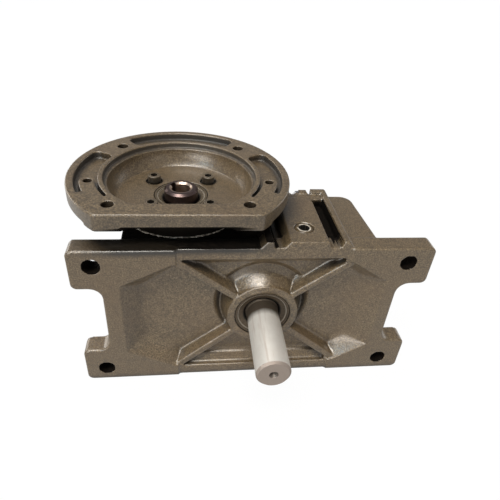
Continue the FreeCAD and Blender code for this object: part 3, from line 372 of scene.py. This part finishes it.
SKIRT_FRONT, SKIRT_FRONT_R = 3.9 * MM, 23.0 * MM
SKIRT_BACK, SKIRT_BACK_R = 13.0 * MM, 29.6 * MM
SKIRT_STEP, SKIRT_FLARE, SKIRT_ROOT = 2.8 * MM, 1.26, 4.5 * MM
SKIRT_LIFT, SKIRT_BORE_R = 4.0 * MM, 26.6 * MM
SKIRT_BORE_LONG, ROUND = 80 * MM, 128
RIB_SLANT, QUARTER = math.radians(51.2), math.radians(90)


def boss_skirt():
    """Sloping shoulder cast on to the output boss between its two upper ribs."""
    bpy.ops.object.select_all(action="DESELECT")
    bpy.ops.mesh.primitive_cone_add(vertices=ROUND, radius1=SKIRT_BACK_R, radius2=SKIRT_FRONT_R,
                                    depth=SKIRT_BACK - SKIRT_FRONT, rotation=(QUARTER, 0, 0),
                                    location=(0, (SKIRT_FRONT + SKIRT_BACK) / 2, SKIRT_LIFT))
    skirt = bpy.context.object
    bpy.ops.object.transform_apply(location=True, rotation=True)
    pick(skirt, "polygons", lambda face: face.normal.y > 0.9)
    bpy.ops.mesh.extrude_region_move(TRANSFORM_OT_translate={"value": (0, SKIRT_STEP, 0)})
    bpy.ops.transform.resize(value=(SKIRT_FLARE, 1, SKIRT_FLARE),
                             center_override=(0, SKIRT_BACK + SKIRT_STEP, SKIRT_LIFT))
    bpy.ops.mesh.extrude_region_move(TRANSFORM_OT_translate={"value": (0, SKIRT_ROOT, 0)})
    bpy.ops.object.mode_set(mode="OBJECT")
    bpy.ops.object.select_all(action="DESELECT")
    bpy.ops.mesh.primitive_cylinder_add(vertices=ROUND, radius=SKIRT_BORE_R, depth=SKIRT_BORE_LONG,
                                        rotation=(QUARTER, 0, 0))
    bore = bpy.context.object
    bpy.ops.object.transform_apply(rotation=True)
    shaped(skirt, "BOOLEAN", object=bore, operation="DIFFERENCE", solver="EXACT")
    bpy.data.objects.remove(bore)
    for side in (-1, 1):
        pick(skirt, "polygons", lambda face: True)
        bpy.ops.mesh.bisect(plane_co=(0, 0, 0), use_fill=True, clear_outer=True,
                            plane_no=(side * math.cos(RIB_SLANT), 0, -math.sin(RIB_SLANT)))
        bpy.ops.object.mode_set(mode="OBJECT")
    return skirt


DISH_LEFT, DISH_RIBS_LEFT, DISH_RIBS_RIGHT, DISH_RIGHT = (v * MM for v in (-110, -64, 61, 95))
DISH_FADE, DISH_LIP, DISH_END_Y, DISH_HALF_Z = (v * MM for v in (5, 1.2, 14, 54))


def dish_slopes(at):
    """Share of a place in the foot of the slopes at both ends of the dish, clear of the ribs."""
    if at.y > DISH_END_Y or abs(at.z) > DISH_HALF_Z:
        return 0.0
    left = min(DISH_RIBS_LEFT - at.x, at.x - DISH_LEFT) / DISH_FADE
    right = min(at.x - DISH_RIBS_RIGHT, DISH_RIGHT - at.x) / DISH_FADE
    return min(1.0, max(left, right)) * min(1.0, max(0.0, (at.y - DISH_LIP) / DISH_FADE))


FOOT_HOLES = [Vector((x, 0, z)) * MM for x in (-118.5, 101.5) for z in (-49.5, 49.5)]
FOOT_HOLE_WALL = 6.3 * MM
DRILLED, GAP, TAPPED = 1, 2, 3
case_enamel = enamel_finish("case_enamel")
drilled_iron = dark_iron_finish("drilled_iron", (0.003, 0.0025, 0.002), (0.01, 0.007, 0.005))
# Near-black finish used as painted shade in the gaps.
gap_shade_iron = dark_iron_finish("gap_shade_iron", (0.002, 0.0017, 0.0014), (0.008, 0.006, 0.0045))
CASTING_FINISHES = (case_enamel, drilled_iron, gap_shade_iron)
case_skin = cast_skin("housing", "case_casting", grain=0.75 * MM, triangles=180000,
                      extra=[boss_skirt()], hollows=dish_slopes)
for finish in CASTING_FINISHES:
    case_skin.data.materials.append(finish)
give_faces_finish(case_skin, DRILLED, in_holes(FOOT_HOLES, FOOT_HOLE_WALL, ALONG_Y))
# Painted shade: the case under the flange and the groove by the filler plug.
give_faces_finish(case_skin, GAP, case_gap)
give_faces_finish(case_skin, GAP, in_channel)
stands_for(case_skin, "housing", "case")


# Motor flange: a second iron casting, turned on its face and register, drilled and tapped,
# bolted to the top of the worm barrel and painted over together with it.

BOLT_CIRCLE = 65 * MM
MOTOR_HOLE_WALL, SIDE_HOLE_WALL = 4.3 * MM, 3.3 * MM
UNDERSIDE_TOP, UNDERSIDE_R = 79 * MM, 74 * MM
DIAGONALS, SIDES = (45, 135, 225, 315), (-12, 192)


def round_motor_axis(radius, turns, height=0):
    """Places on a circle round the worm's axis, at angles in degrees from +X."""
    angles = [math.radians(turn) for turn in turns]
    return [MOTOR_AXIS + Vector((radius * math.cos(t), radius * math.sin(t), height)) for t in angles]


def flange_underside(face):
    """The bowl and the back of the flange over the gap, given near-black painted shade."""
    low = face.normal.z < 0.05 and face.center.z < UNDERSIDE_TOP
    return low and from_motor_axis(face) < UNDERSIDE_R


tapped_iron = dark_iron_finish("tapped_iron", (0.022, 0.017, 0.012), (0.06, 0.044, 0.03))
flange_skin = cast_skin("motor_flange", "flange_casting", grain=0.6 * MM, triangles=150000)
for finish in CASTING_FINISHES + (tapped_iron,):
    flange_skin.data.materials.append(finish)
motor_holes = round_motor_axis(BOLT_CIRCLE, DIAGONALS)
side_holes = round_motor_axis(BOLT_CIRCLE, SIDES)
give_faces_finish(flange_skin, TAPPED, in_holes(motor_holes, MOTOR_HOLE_WALL, ALONG_Z))
give_faces_finish(flange_skin, TAPPED, in_holes(side_holes, SIDE_HOLE_WALL, ALONG_Z))
# Painted shade: the flange's underside over the gap.
give_faces_finish(flange_skin, GAP, flange_underside)
stands_for(flange_skin, "motor_flange", "case")


# Covers: the round back cover with its domed middle and the blind cap under the worm,
# both cast in iron and painted with the case.

for node in ("back_cover", "worm_end_cap"):
    skin = cast_skin(node, node + "_casting", grain=0.6 * MM, triangles=60000)
    skin.data.materials.append(case_enamel)
    stands_for(skin, node, "case")


# Gaskets: thin pressed paper under the flange, the back cover and the end cap, their cut
# edges just showing between the castings.

def paper_finish():
    """Grey-green gasket paper with fibres and an oily stain here and there."""
    material, tree, shader = finish_of("gasket_paper")
    at = place_in(tree)
    fibre = noise(tree, at, 2600, 4.0, 0.7)
    stain = noise(tree, at, 60, 3.0)
    tint = colours(tree, fibre, [(0.3, (0.05, 0.05, 0.042, 1)), (0.7, (0.13, 0.13, 0.11, 1))])
    tint = mixed(tree, spread(tree, stain, 0.5, 0.65, 0, 0.7), tint, (0.03, 0.025, 0.018, 1))
    into(tree, tint, shader, "Base Color")
    into(tree, spread(tree, stain, 0.5, 0.65, 0.85, 0.5), shader, "Roughness")
    into(tree, bumped(tree, fibre, 0.3, 0.1 * MM), shader, "Normal")
    return material


def dress(node, material):
    """Give a solid its finish."""
    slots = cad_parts[node].data.materials
    slots.clear()
    slots.append(material)


gasket_paper = paper_finish()
for node in ("flange_gasket", "cover_gasket", "end_cap_shim"):
    dress(node, gasket_paper)


# Sealant: a bead squeezed out of the joint when the flange was bolted down, left to set
# ragged and pale round the neck.

def sealant_finish():
    """Set sealant, pale where it stands proud and stained dark in its hollows."""
    material, tree, shader = finish_of("set_sealant")
    at = place_in(tree)
    crumb = noise(tree, at, 520, 3.0, 0.65)
    tint = colours(tree, crumb, [(0.38, (0.03, 0.024, 0.018, 1)), (0.52, (0.22, 0.2, 0.17, 1)),
                                 (0.7, (0.5, 0.47, 0.42, 1))])
    into(tree, tint, shader, "Base Color")
    into(tree, spread(tree, crumb, 0.3, 0.7, 0.7, 0.4), shader, "Roughness")
    into(tree, bumped(tree, crumb, 0.4, 0.15 * MM), shader, "Normal")
    return material


BEAD_R, BEAD_HEIGHT, BEAD_THICK = 45.35 * MM, 61.25 * MM, 0.55 * MM
bpy.ops.object.select_all(action="DESELECT")
bpy.ops.mesh.primitive_torus_add(major_segments=360, minor_segments=10, major_radius=BEAD_R,
                                 minor_radius=BEAD_THICK,
                                 location=MOTOR_AXIS + Vector((0, 0, BEAD_HEIGHT)))
bead = bpy.context.object
bead.name = "sealant_bead"
bpy.ops.object.transform_apply(location=True)
ragged = bpy.data.textures.new("ragged_bead", "CLOUDS")
ragged.noise_scale = 2.4 * MM
shaped(bead, "DISPLACE", texture=ragged, texture_coords="LOCAL", strength=1.6 * MM, mid_level=0.45)
bpy.ops.object.shade_smooth()
bead.data.materials.append(sealant_finish())
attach(bead, "case")


# Bearings: four tapered roller bearings of hardened, ground steel, their rollers held in
# pressed steel cages. They sit inside the case and never show.

def steel_finish(name, tint, rough, lines, along):
    """Machined steel: fine tool lines across an axis, a little uneven in gloss and colour."""
    material, tree, shader = finish_of(name)
    at = place_in(tree)
    squeeze = [30.0, 30.0, 30.0]
    squeeze[along] = lines
    stretched = add(tree, "Mapping", {"Vector": at, "Scale": squeeze}).outputs["Vector"]
    line = noise(tree, stretched, 1.0, 3.0, 0.6)
    smear = noise(tree, at, 90, 3.0, 0.55)
    dark = tuple(0.72 * c for c in tint) + (1,)
    into(tree, mixed(tree, spread(tree, smear, 0.35, 0.7), tint + (1,), dark), shader, "Base Color")
    into(tree, spread(tree, smear, 0.3, 0.75, rough * 0.8, rough * 1.3), shader, "Roughness")
    into(tree, bumped(tree, line, 0.25, 0.03 * MM), shader, "Normal")
    shader.inputs["Metallic"].default_value = 1.0
    return material


race_steel = {
    ALONG_Y: steel_finish("output_race_steel", (0.56, 0.56, 0.57), 0.16, 5000, ALONG_Y),
    ALONG_Z: steel_finish("worm_race_steel", (0.56, 0.56, 0.57), 0.16, 5000, ALONG_Z),
}
cage_steel = steel_finish("cage_steel", (0.36, 0.35, 0.33), 0.38, 900, ALONG_Y)
for bearing, axis in (("upper_worm", ALONG_Z), ("lower_worm", ALONG_Z),
                      ("front_output", ALONG_Y), ("rear_output", ALONG_Y)):
    for part in ("cup", "cone", "rollers"):
        dress(bearing + "_bearing_" + part, race_steel[axis])
    dress(bearing + "_bearing_cage", cage_steel)


# Worm: hardened and ground steel, dark from its heat treatment and oil. Its upper end is a
# hollow hub with a keyway, standing in the bell of the flange for the motor's shaft.

def worm_finish():
    """Dark hardened steel; bore and cut edges of the hub's mouth lighter, as machined steel and as
    painted highlight and reflection.
    """
    material, tree, shader = finish_of("worm_steel")
    at = place_in(tree)
    stretched = add(tree, "Mapping", {"Vector": at, "Scale": (40, 40, 4200)}).outputs["Vector"]
    line = noise(tree, stretched, 1.0, 3.0, 0.6)
    smear = noise(tree, at, 160, 3.0, 0.6)
    tint = mixed(tree, spread(tree, smear, 0.35, 0.7), (0.15, 0.108, 0.1, 1), (0.075, 0.055, 0.055, 1))
    # Cut edges of the hub's mouth painted lighter: machined steel, and painted highlight.
    edge = add(tree, "AmbientOcclusion", {"Distance": 1.2 * MM}, samples=6, inside=True)
    tint = mixed(tree, spread(tree, edge.outputs["AO"], 0.8, 0.4, 0.0, 0.7), tint, (0.4, 0.33, 0.29, 1))
    # The bore painted lighter: ground steel, and painted reflection of its lit inner wall.
    bore = spread(tree, from_axis(tree, at, MOTOR_AXIS, ALONG_Z), 9.0 * MM, 8.0 * MM)
    tint = mixed(tree, bore, tint, (0.62, 0.5, 0.42, 1))
    into(tree, tint, shader, "Base Color")
    into(tree, spread(tree, smear, 0.3, 0.75, 0.28, 0.44), shader, "Roughness")
    into(tree, bumped(tree, line, 0.3, 0.04 * MM), shader, "Normal")
    shader.inputs["Metallic"].default_value = 1.0
    return material


dress("worm_shaft", worm_finish())


# Oil seals: rubber-covered lip seals, one pressed into the floor of the bell round the hub and
# painted over with it, one in the output boss. Steel garter springs hold their lips.

def seal_finish(name, axis_point, axis, outer, paint):
    """Rubber lip seal: oversprayed face with a pale moulding line, worn and painted highlight,
    near-black towards the lip as black rubber and painted shade.

    Outer is the seal's outer radius in millimetres.
    """
    material, tree, shader = finish_of(name)
    at = place_in(tree)
    reach = from_axis(tree, at, axis_point, axis)
    dust = noise(tree, at, 700, 3.0, 0.6)
    thin_paint = tuple(0.6 * c for c in paint) + (1,)
    sprayed = mixed(tree, spread(tree, dust, 0.35, 0.7), paint + (1,), thin_paint)
    # Pale ring on the moulding line: worn paint, and painted highlight.
    line = reckon(tree, "ABSOLUTE", reckon(tree, "SUBTRACT", reach, (outer - 2.6) * MM))
    tint = mixed(tree, spread(tree, line, 0.45 * MM, 0.15 * MM, 0.0, 0.8), sprayed, (0.34, 0.3, 0.25, 1))
    # Near-black towards the lip: black rubber, and painted shade in the gap round the shaft.
    black_and_shaded_lip = spread(tree, reach, 15.2 * MM, 14.0 * MM)
    tint = mixed(tree, black_and_shaded_lip, tint, (0.008, 0.007, 0.006, 1))
    rim = spread(tree, reach, (outer - 0.7) * MM, (outer - 0.3) * MM)
    tint = mixed(tree, rim, tint, (0.006, 0.005, 0.004, 1))
    into(tree, tint, shader, "Base Color")
    into(tree, spread(tree, dust, 0.3, 0.7, 0.36, 0.55), shader, "Roughness")
    into(tree, bumped(tree, dust, 0.25, 0.06 * MM), shader, "Normal")
    shader.inputs["Specular IOR Level"].default_value = 0.35
    return material


OUTPUT_AXIS = Vector((0, 0, 0))
dress("input_oil_seal", seal_finish("painted_rubber", MOTOR_AXIS, ALONG_Z, 20.0, (0.1, 0.077, 0.05)))
dress("input_seal_spring", race_steel[ALONG_Z])
dress("output_oil_seal", seal_finish("seal_rubber", OUTPUT_AXIS, ALONG_Y, 21.0, (0.085, 0.062, 0.04)))
dress("output_seal_spring", race_steel[ALONG_Y])


# Wheel: a bronze rim with cut teeth, shrunk on an iron hub and held by three grub screws
# on their joint, keyed to the output shaft.

def bronze_finish():
    """Cut phosphor bronze with bright tooth flanks and oil film."""
    material, tree, shader = finish_of("wheel_bronze")
    at = place_in(tree)
    film = noise(tree, at, 110, 4.0, 0.6)
    stretched = add(tree, "Mapping", {"Vector": at, "Scale": (200, 3000, 200)}).outputs["Vector"]
    cut = noise(tree, stretched, 1.0, 3.0)
    tint = colours(tree, film, [(0.3, (0.33, 0.17, 0.05, 1)), (0.55, (0.52, 0.3, 0.1, 1)),
                                (0.8, (0.62, 0.4, 0.17, 1))])
    into(tree, tint, shader, "Base Color")
    into(tree, spread(tree, film, 0.3, 0.7, 0.22, 0.38), shader, "Roughness")
    into(tree, bumped(tree, cut, 0.25, 0.03 * MM), shader, "Normal")
    shader.inputs["Metallic"].default_value = 1.0
    return material


dress("wheel_rim", bronze_finish())
dress("wheel_hub", steel_finish("hub_iron", (0.26, 0.26, 0.265), 0.42, 2600, ALONG_Y))


# Output shaft: bright ground steel with a keyway on its lower side and a centre hole in the
# end, handled, and darkened by oil and painted shade where it leaves the seal.

def shaft_finish():
    """Ground steel: fine rings, brown streaks, oil and painted shade in a dark band by the seal, a
    darker end face, painted shade in the centre hole.
    """
    material, tree, shader = finish_of("shaft_steel")
    at = place_in(tree)
    along = add(tree, "SeparateXYZ", {"Vector": at}).outputs["Y"]
    stretched = add(tree, "Mapping", {"Vector": at, "Scale": (60, 5200, 60)}).outputs["Vector"]
    ring = noise(tree, stretched, 1.0, 3.0, 0.6)
    smear = noise(tree, at, 70, 3.0, 0.55)
    tint = mixed(tree, spread(tree, smear, 0.4, 0.75), (0.78, 0.76, 0.725, 1), (0.7, 0.67, 0.63, 1))
    drawn = add(tree, "Mapping", {"Vector": at, "Scale": (330, 22, 330)}).outputs["Vector"]
    streak = noise(tree, drawn, 1.0, 3.0, 0.6)
    tint = mixed(tree, spread(tree, streak, 0.52, 0.72, 0.0, 0.4), tint, (0.4, 0.3, 0.24, 1))
    # Dark band by the seal: oil, and painted shade and dark reflection of the boss and seal.
    oil_and_shade = spread(tree, reckon(tree, "MULTIPLY_ADD", smear, 6 * MM, along), -6 * MM, 0.5 * MM)
    tint = mixed(tree, oil_and_shade, tint, (0.075, 0.058, 0.042, 1))
    end_face = spread(tree, along, -52.0 * MM, -52.7 * MM)
    tint = mixed(tree, end_face, tint, (0.34, 0.285, 0.25, 1))
    # Painted shade in the centre hole.
    centre = spread(tree, from_axis(tree, at, OUTPUT_AXIS, ALONG_Y), 3.3 * MM, 2.9 * MM)
    centre = reckon(tree, "MULTIPLY", centre, spread(tree, along, -38 * MM, -40 * MM))
    tint = mixed(tree, centre, tint, (0.14, 0.12, 0.105, 1))
    into(tree, tint, shader, "Base Color")
    into(tree, spread(tree, smear, 0.3, 0.75, 0.5, 0.62), shader, "Roughness")
    into(tree, bumped(tree, ring, 0.3, 0.03 * MM), shader, "Normal")
    shader.inputs["Metallic"].default_value = 0.6
    return material


dress("output_shaft", shaft_finish())
bright_steel = steel_finish("key_steel", (0.5, 0.49, 0.47), 0.3, 3000, ALONG_Y)
for node in ("wheel_key", "rear_spacer"):
    dress(node, bright_steel)


# Fasteners: socket head screws on spring washers in the bell, painted over with it, plated
# hexagon bolts on the covers, and two hexagon socket plugs, painted over with the case.

HEAD_R, HEAD_TALL, HEAD_BEVEL = 5.0 * MM, 6.0 * MM, 0.45 * MM
SHANK_R, SHANK_LONG = 2.95 * MM, 22.0 * MM
SOCKET_R, SOCKET_DEEP = 2.887 * MM, 3.0 * MM
KNURLS, KNURL_LOW, KNURL_HIGH, KNURL_SINK = 36, 0.9 * MM, 5.0 * MM, 0.945
NEAR = 0.01 * MM
SCREW_CIRCLE, SCREW_STAND = 29.6 * MM, 69.5 * MM


def cut_level(piece, height):
    """A level cut through a whole piece."""
    pick(piece, "polygons", lambda face: True)
    bpy.ops.mesh.bisect(plane_co=(0, 0, height), plane_no=(0, 0, 1))
    bpy.ops.object.mode_set(mode="OBJECT")


def socket_screw(name):
    """One socket head screw at the origin, its head on the seat: knurled side, hexagon socket."""
    bpy.ops.object.select_all(action="DESELECT")
    bpy.ops.mesh.primitive_cylinder_add(vertices=4 * KNURLS, radius=HEAD_R, depth=HEAD_TALL,
                                        location=(0, 0, HEAD_TALL / 2))
    screw = bpy.context.object
    screw.name = name
    bpy.ops.object.transform_apply(location=True)
    pick(screw, "polygons", lambda face: face.normal.z < -0.9)
    bpy.ops.mesh.inset(thickness=HEAD_R - SHANK_R)
    bpy.ops.mesh.extrude_region_move(TRANSFORM_OT_translate={"value": (0, 0, -SHANK_LONG)})
    bpy.ops.object.mode_set(mode="OBJECT")
    cut_level(screw, KNURL_LOW)
    cut_level(screw, KNURL_HIGH)
    notch = math.radians(360 / KNURLS)

    def in_notch(vertex):
        """Whether a vertex of the head's side lies at the bottom of a knurl."""
        turn = math.atan2(vertex.co.y, vertex.co.x) / notch
        return KNURL_LOW - NEAR < vertex.co.z < KNURL_HIGH + NEAR and (turn + 0.1) % 1 < 0.3

    pick(screw, "vertices", in_notch)
    bpy.ops.transform.resize(value=(KNURL_SINK, KNURL_SINK, 1), center_override=(0, 0, 0))
    bpy.ops.object.mode_set(mode="OBJECT")
    points = screw.data.vertices
    pick(screw, "edges", lambda edge: all(points[i].co.z > HEAD_TALL - NEAR for i in edge.vertices))
    bpy.ops.mesh.bevel(offset=HEAD_BEVEL, segments=3, affect="EDGES")
    bpy.ops.object.mode_set(mode="OBJECT")
    bpy.ops.object.select_all(action="DESELECT")
    bpy.ops.mesh.primitive_cylinder_add(vertices=6, radius=SOCKET_R, depth=2 * SOCKET_DEEP,
                                        location=(0, 0, HEAD_TALL))
    key = bpy.context.object
    bpy.ops.object.transform_apply(location=True)
    shaped(screw, "BOOLEAN", object=key, operation="DIFFERENCE", solver="EXACT")
    bpy.data.objects.remove(key)
    only(screw)
    bpy.ops.object.shade_smooth_by_angle(angle=math.radians(32))
    return screw


def set_of(piece, places):
    """Copies of one piece at its places, each with its own mesh, joined to one."""
    copies = []
    for place in places:
        copy = piece.copy()
        copy.data = piece.data.copy()
        copy.data.transform(Matrix.Translation(place))
        bpy.context.scene.collection.objects.link(copy)
        copies.append(copy)
    only(copies[0])
    for copy in copies[1:]:
        copy.select_set(True)
    bpy.ops.object.join()
    bpy.data.objects.remove(piece)
    return copies[0]


# A darker copy of the enamel for the screws and washers in the bell: painted shade.
shaded_screw_enamel = enamel_finish("shaded_screw_enamel", 0.35)
screw_places = round_motor_axis(SCREW_CIRCLE, DIAGONALS, SCREW_STAND)
screws = set_of(socket_screw("socket_screw"), screw_places)
screws.name = "flange_socket_screws"
screws.data.materials.append(shaded_screw_enamel)
stands_for(screws, "flange_screws", "case")
dress("flange_washers", shaded_screw_enamel)
dress("rim_screws", steel_finish("grub_steel", (0.1, 0.095, 0.09), 0.36, 2000, ALONG_Y))
zinc = steel_finish("zinc_plate", (0.55, 0.56, 0.58), 0.3, 1200, ALONG_Y)
for node in ("cover_bolts", "cover_washers", "end_cap_bolts"):
    dress(node, zinc)


def plug_finish(name, axis_point):
    """A plug painted over with the case, its socket near-black as painted shade, and the paint chipped
    off round it.
    """
    material, tree, shader = finish_of(name)
    at = place_in(tree)
    reach = from_axis(tree, at, axis_point, ALONG_Z)
    flake = noise(tree, at, 900, 3.0, 0.6)
    patch = noise(tree, at, 190, 3.0, 0.6)
    torn = spread(tree, reckon(tree, "MULTIPLY_ADD", flake, 1.6 * MM, reach), 5.9 * MM, 5.5 * MM)
    tint = mixed(tree, spread(tree, flake, 0.35, 0.7), ENAMEL, ENAMEL_DARK)
    chipped = reckon(tree, "MULTIPLY", torn, spread(tree, patch, 0.4, 0.52))
    tint = mixed(tree, chipped, tint, (0.55, 0.5, 0.43, 1))
    # Painted shade: the hexagon socket is near-black.
    tint = mixed(tree, spread(tree, reach, 4.1 * MM, 3.9 * MM), tint, (0.012, 0.01, 0.008, 1))
    into(tree, tint, shader, "Base Color")
    into(tree, spread(tree, flake, 0.3, 0.7, 0.3, 0.5), shader, "Roughness")
    into(tree, bumped(tree, flake, 0.3, 0.08 * MM), shader, "Normal")
    return material


FILLER_AXIS = Vector((26.6, 20.5, 0)) * MM
DRAIN_AXIS = Vector((26.6, 22.5, 0)) * MM
dress("filler_plug", plug_finish("filler_plug_paint", FILLER_AXIS))
dress("drain_plug", plug_finish("drain_plug_paint", DRAIN_AXIS))


# Studio: a plain pale floor under the case, wide soft lamps from the front, from above and low
# from both sides behind, a small cool one for the glint on the dish's slope, and the camera
# where the photograph was taken.

FLOOR_SIZE, AMBIENT = 12, 0.03
WHITE, DAYLIGHT = (1, 1, 1, 1), (1.0, 0.97, 0.92)


def shown_share(tree, to_camera, to_gloss):
    """How much of the white backdrop a ray sees: camera rays, mirror and glass rays, none else."""
    path = add(tree, "LightPath").outputs
    gloss = reckon(tree, "MAXIMUM", path["Is Glossy Ray"], path["Is Transmission Ray"])
    gloss = reckon(tree, "MULTIPLY", gloss, to_gloss)
    return reckon(tree, "MAXIMUM", reckon(tree, "MULTIPLY", path["Is Camera Ray"], to_camera), gloss)


def pale_floor(low):
    """A wide matt floor that looks white and still takes the shadow."""
    bpy.ops.object.select_all(action="DESELECT")
    bpy.ops.mesh.primitive_plane_add(size=FLOOR_SIZE, location=(0, 0, low))
    floor = bpy.context.object
    floor.name = "floor"
    bpy.ops.object.transform_apply(location=True)
    material, tree, shader = finish_of("pale_floor")
    shader.inputs["Base Color"].default_value = (0.4, 0.4, 0.4, 1)
    shader.inputs["Roughness"].default_value = 0.9
    glow = add(tree, "Emission", {"Color": WHITE, "Strength": 1.05})
    share = shown_share(tree, 0.92, 0.25)
    blend = add(tree, "MixShader", {0: share, 1: shader.outputs[0], 2: glow.outputs[0]})
    tree.links.new(blend.outputs[0], tree.nodes["Material Output"].inputs["Surface"])
    floor.data.materials.append(material)


def soft_lamp(name, round_to, up, width, strength, colour):
    """A lamp far away, so that the floor is lit evenly; round_to is its angle from +X, in degrees."""
    data = bpy.data.lights.new(name, "SUN")
    data.angle = math.radians(width)
    data.energy = strength
    data.color = colour
    lamp = bpy.data.objects.new(name, data)
    bpy.context.scene.collection.objects.link(lamp)
    turn, rise = math.radians(round_to), math.radians(up)
    towards = Vector((math.cos(turn) * math.cos(rise), math.sin(turn) * math.cos(rise), math.sin(rise)))
    lamp.rotation_euler = (-towards).to_track_quat("-Z", "Y").to_euler()


pale_floor(cad_box[0].z)
world = bpy.data.worlds.new("studio")
bpy.context.scene.world = world
world.use_nodes = True
tree = world.node_tree
background = tree.nodes["Background"]
share = shown_share(tree, 1.0, 0.3)
background.inputs["Color"].default_value = WHITE
tree.links.new(reckon(tree, "MAXIMUM", share, AMBIENT), background.inputs["Strength"])
soft_lamp("front", 238, 8, 36, 1.7, DAYLIGHT)
soft_lamp("fill", 305, 14, 34, 0.14, DAYLIGHT)
soft_lamp("top", 130, 66, 36, 0.9, (1.0, 0.96, 0.9))
soft_lamp("back right", 30, 4, 34, 0.45, DAYLIGHT)
soft_lamp("back left", 142, 4, 34, 0.95, DAYLIGHT)
soft_lamp("over", 262, 68, 18, 1.6, (1.0, 0.95, 0.86))
soft_lamp("shoulder", 226, 60, 19, 1.3, (1.0, 0.97, 0.93))
soft_lamp("glint", 223, 37, 11, 0.34, (0.6, 0.86, 1.0))

CAMERA_AT = (-0.05407, -0.2478, 0.24129)
YAW, PITCH, ROLL = math.radians(9.16), math.radians(35.48), math.radians(4.83)
SENSOR, FRAME_PIXELS, FOCAL_PIXELS = 36, 500, 461.81
ahead = Vector((math.sin(YAW) * math.cos(PITCH), math.cos(YAW) * math.cos(PITCH), -math.sin(PITCH)))
level = Vector((math.cos(YAW), -math.sin(YAW), 0))
upward = level.cross(ahead)
right = math.cos(ROLL) * level + math.sin(ROLL) * upward
top = -math.sin(ROLL) * level + math.cos(ROLL) * upward
stand = Matrix((right, top, -ahead)).transposed().to_4x4()
stand.translation = CAMERA_AT
camera_data = bpy.data.cameras.new("camera")
camera_data.sensor_width = SENSOR
camera_data.lens = SENSOR * FOCAL_PIXELS / FRAME_PIXELS
camera = bpy.data.objects.new("camera", camera_data)
bpy.context.scene.collection.objects.link(camera)
camera.matrix_world = stand
bpy.context.scene.camera = camera
bpy.context.scene.view_settings.view_transform = "Standard"
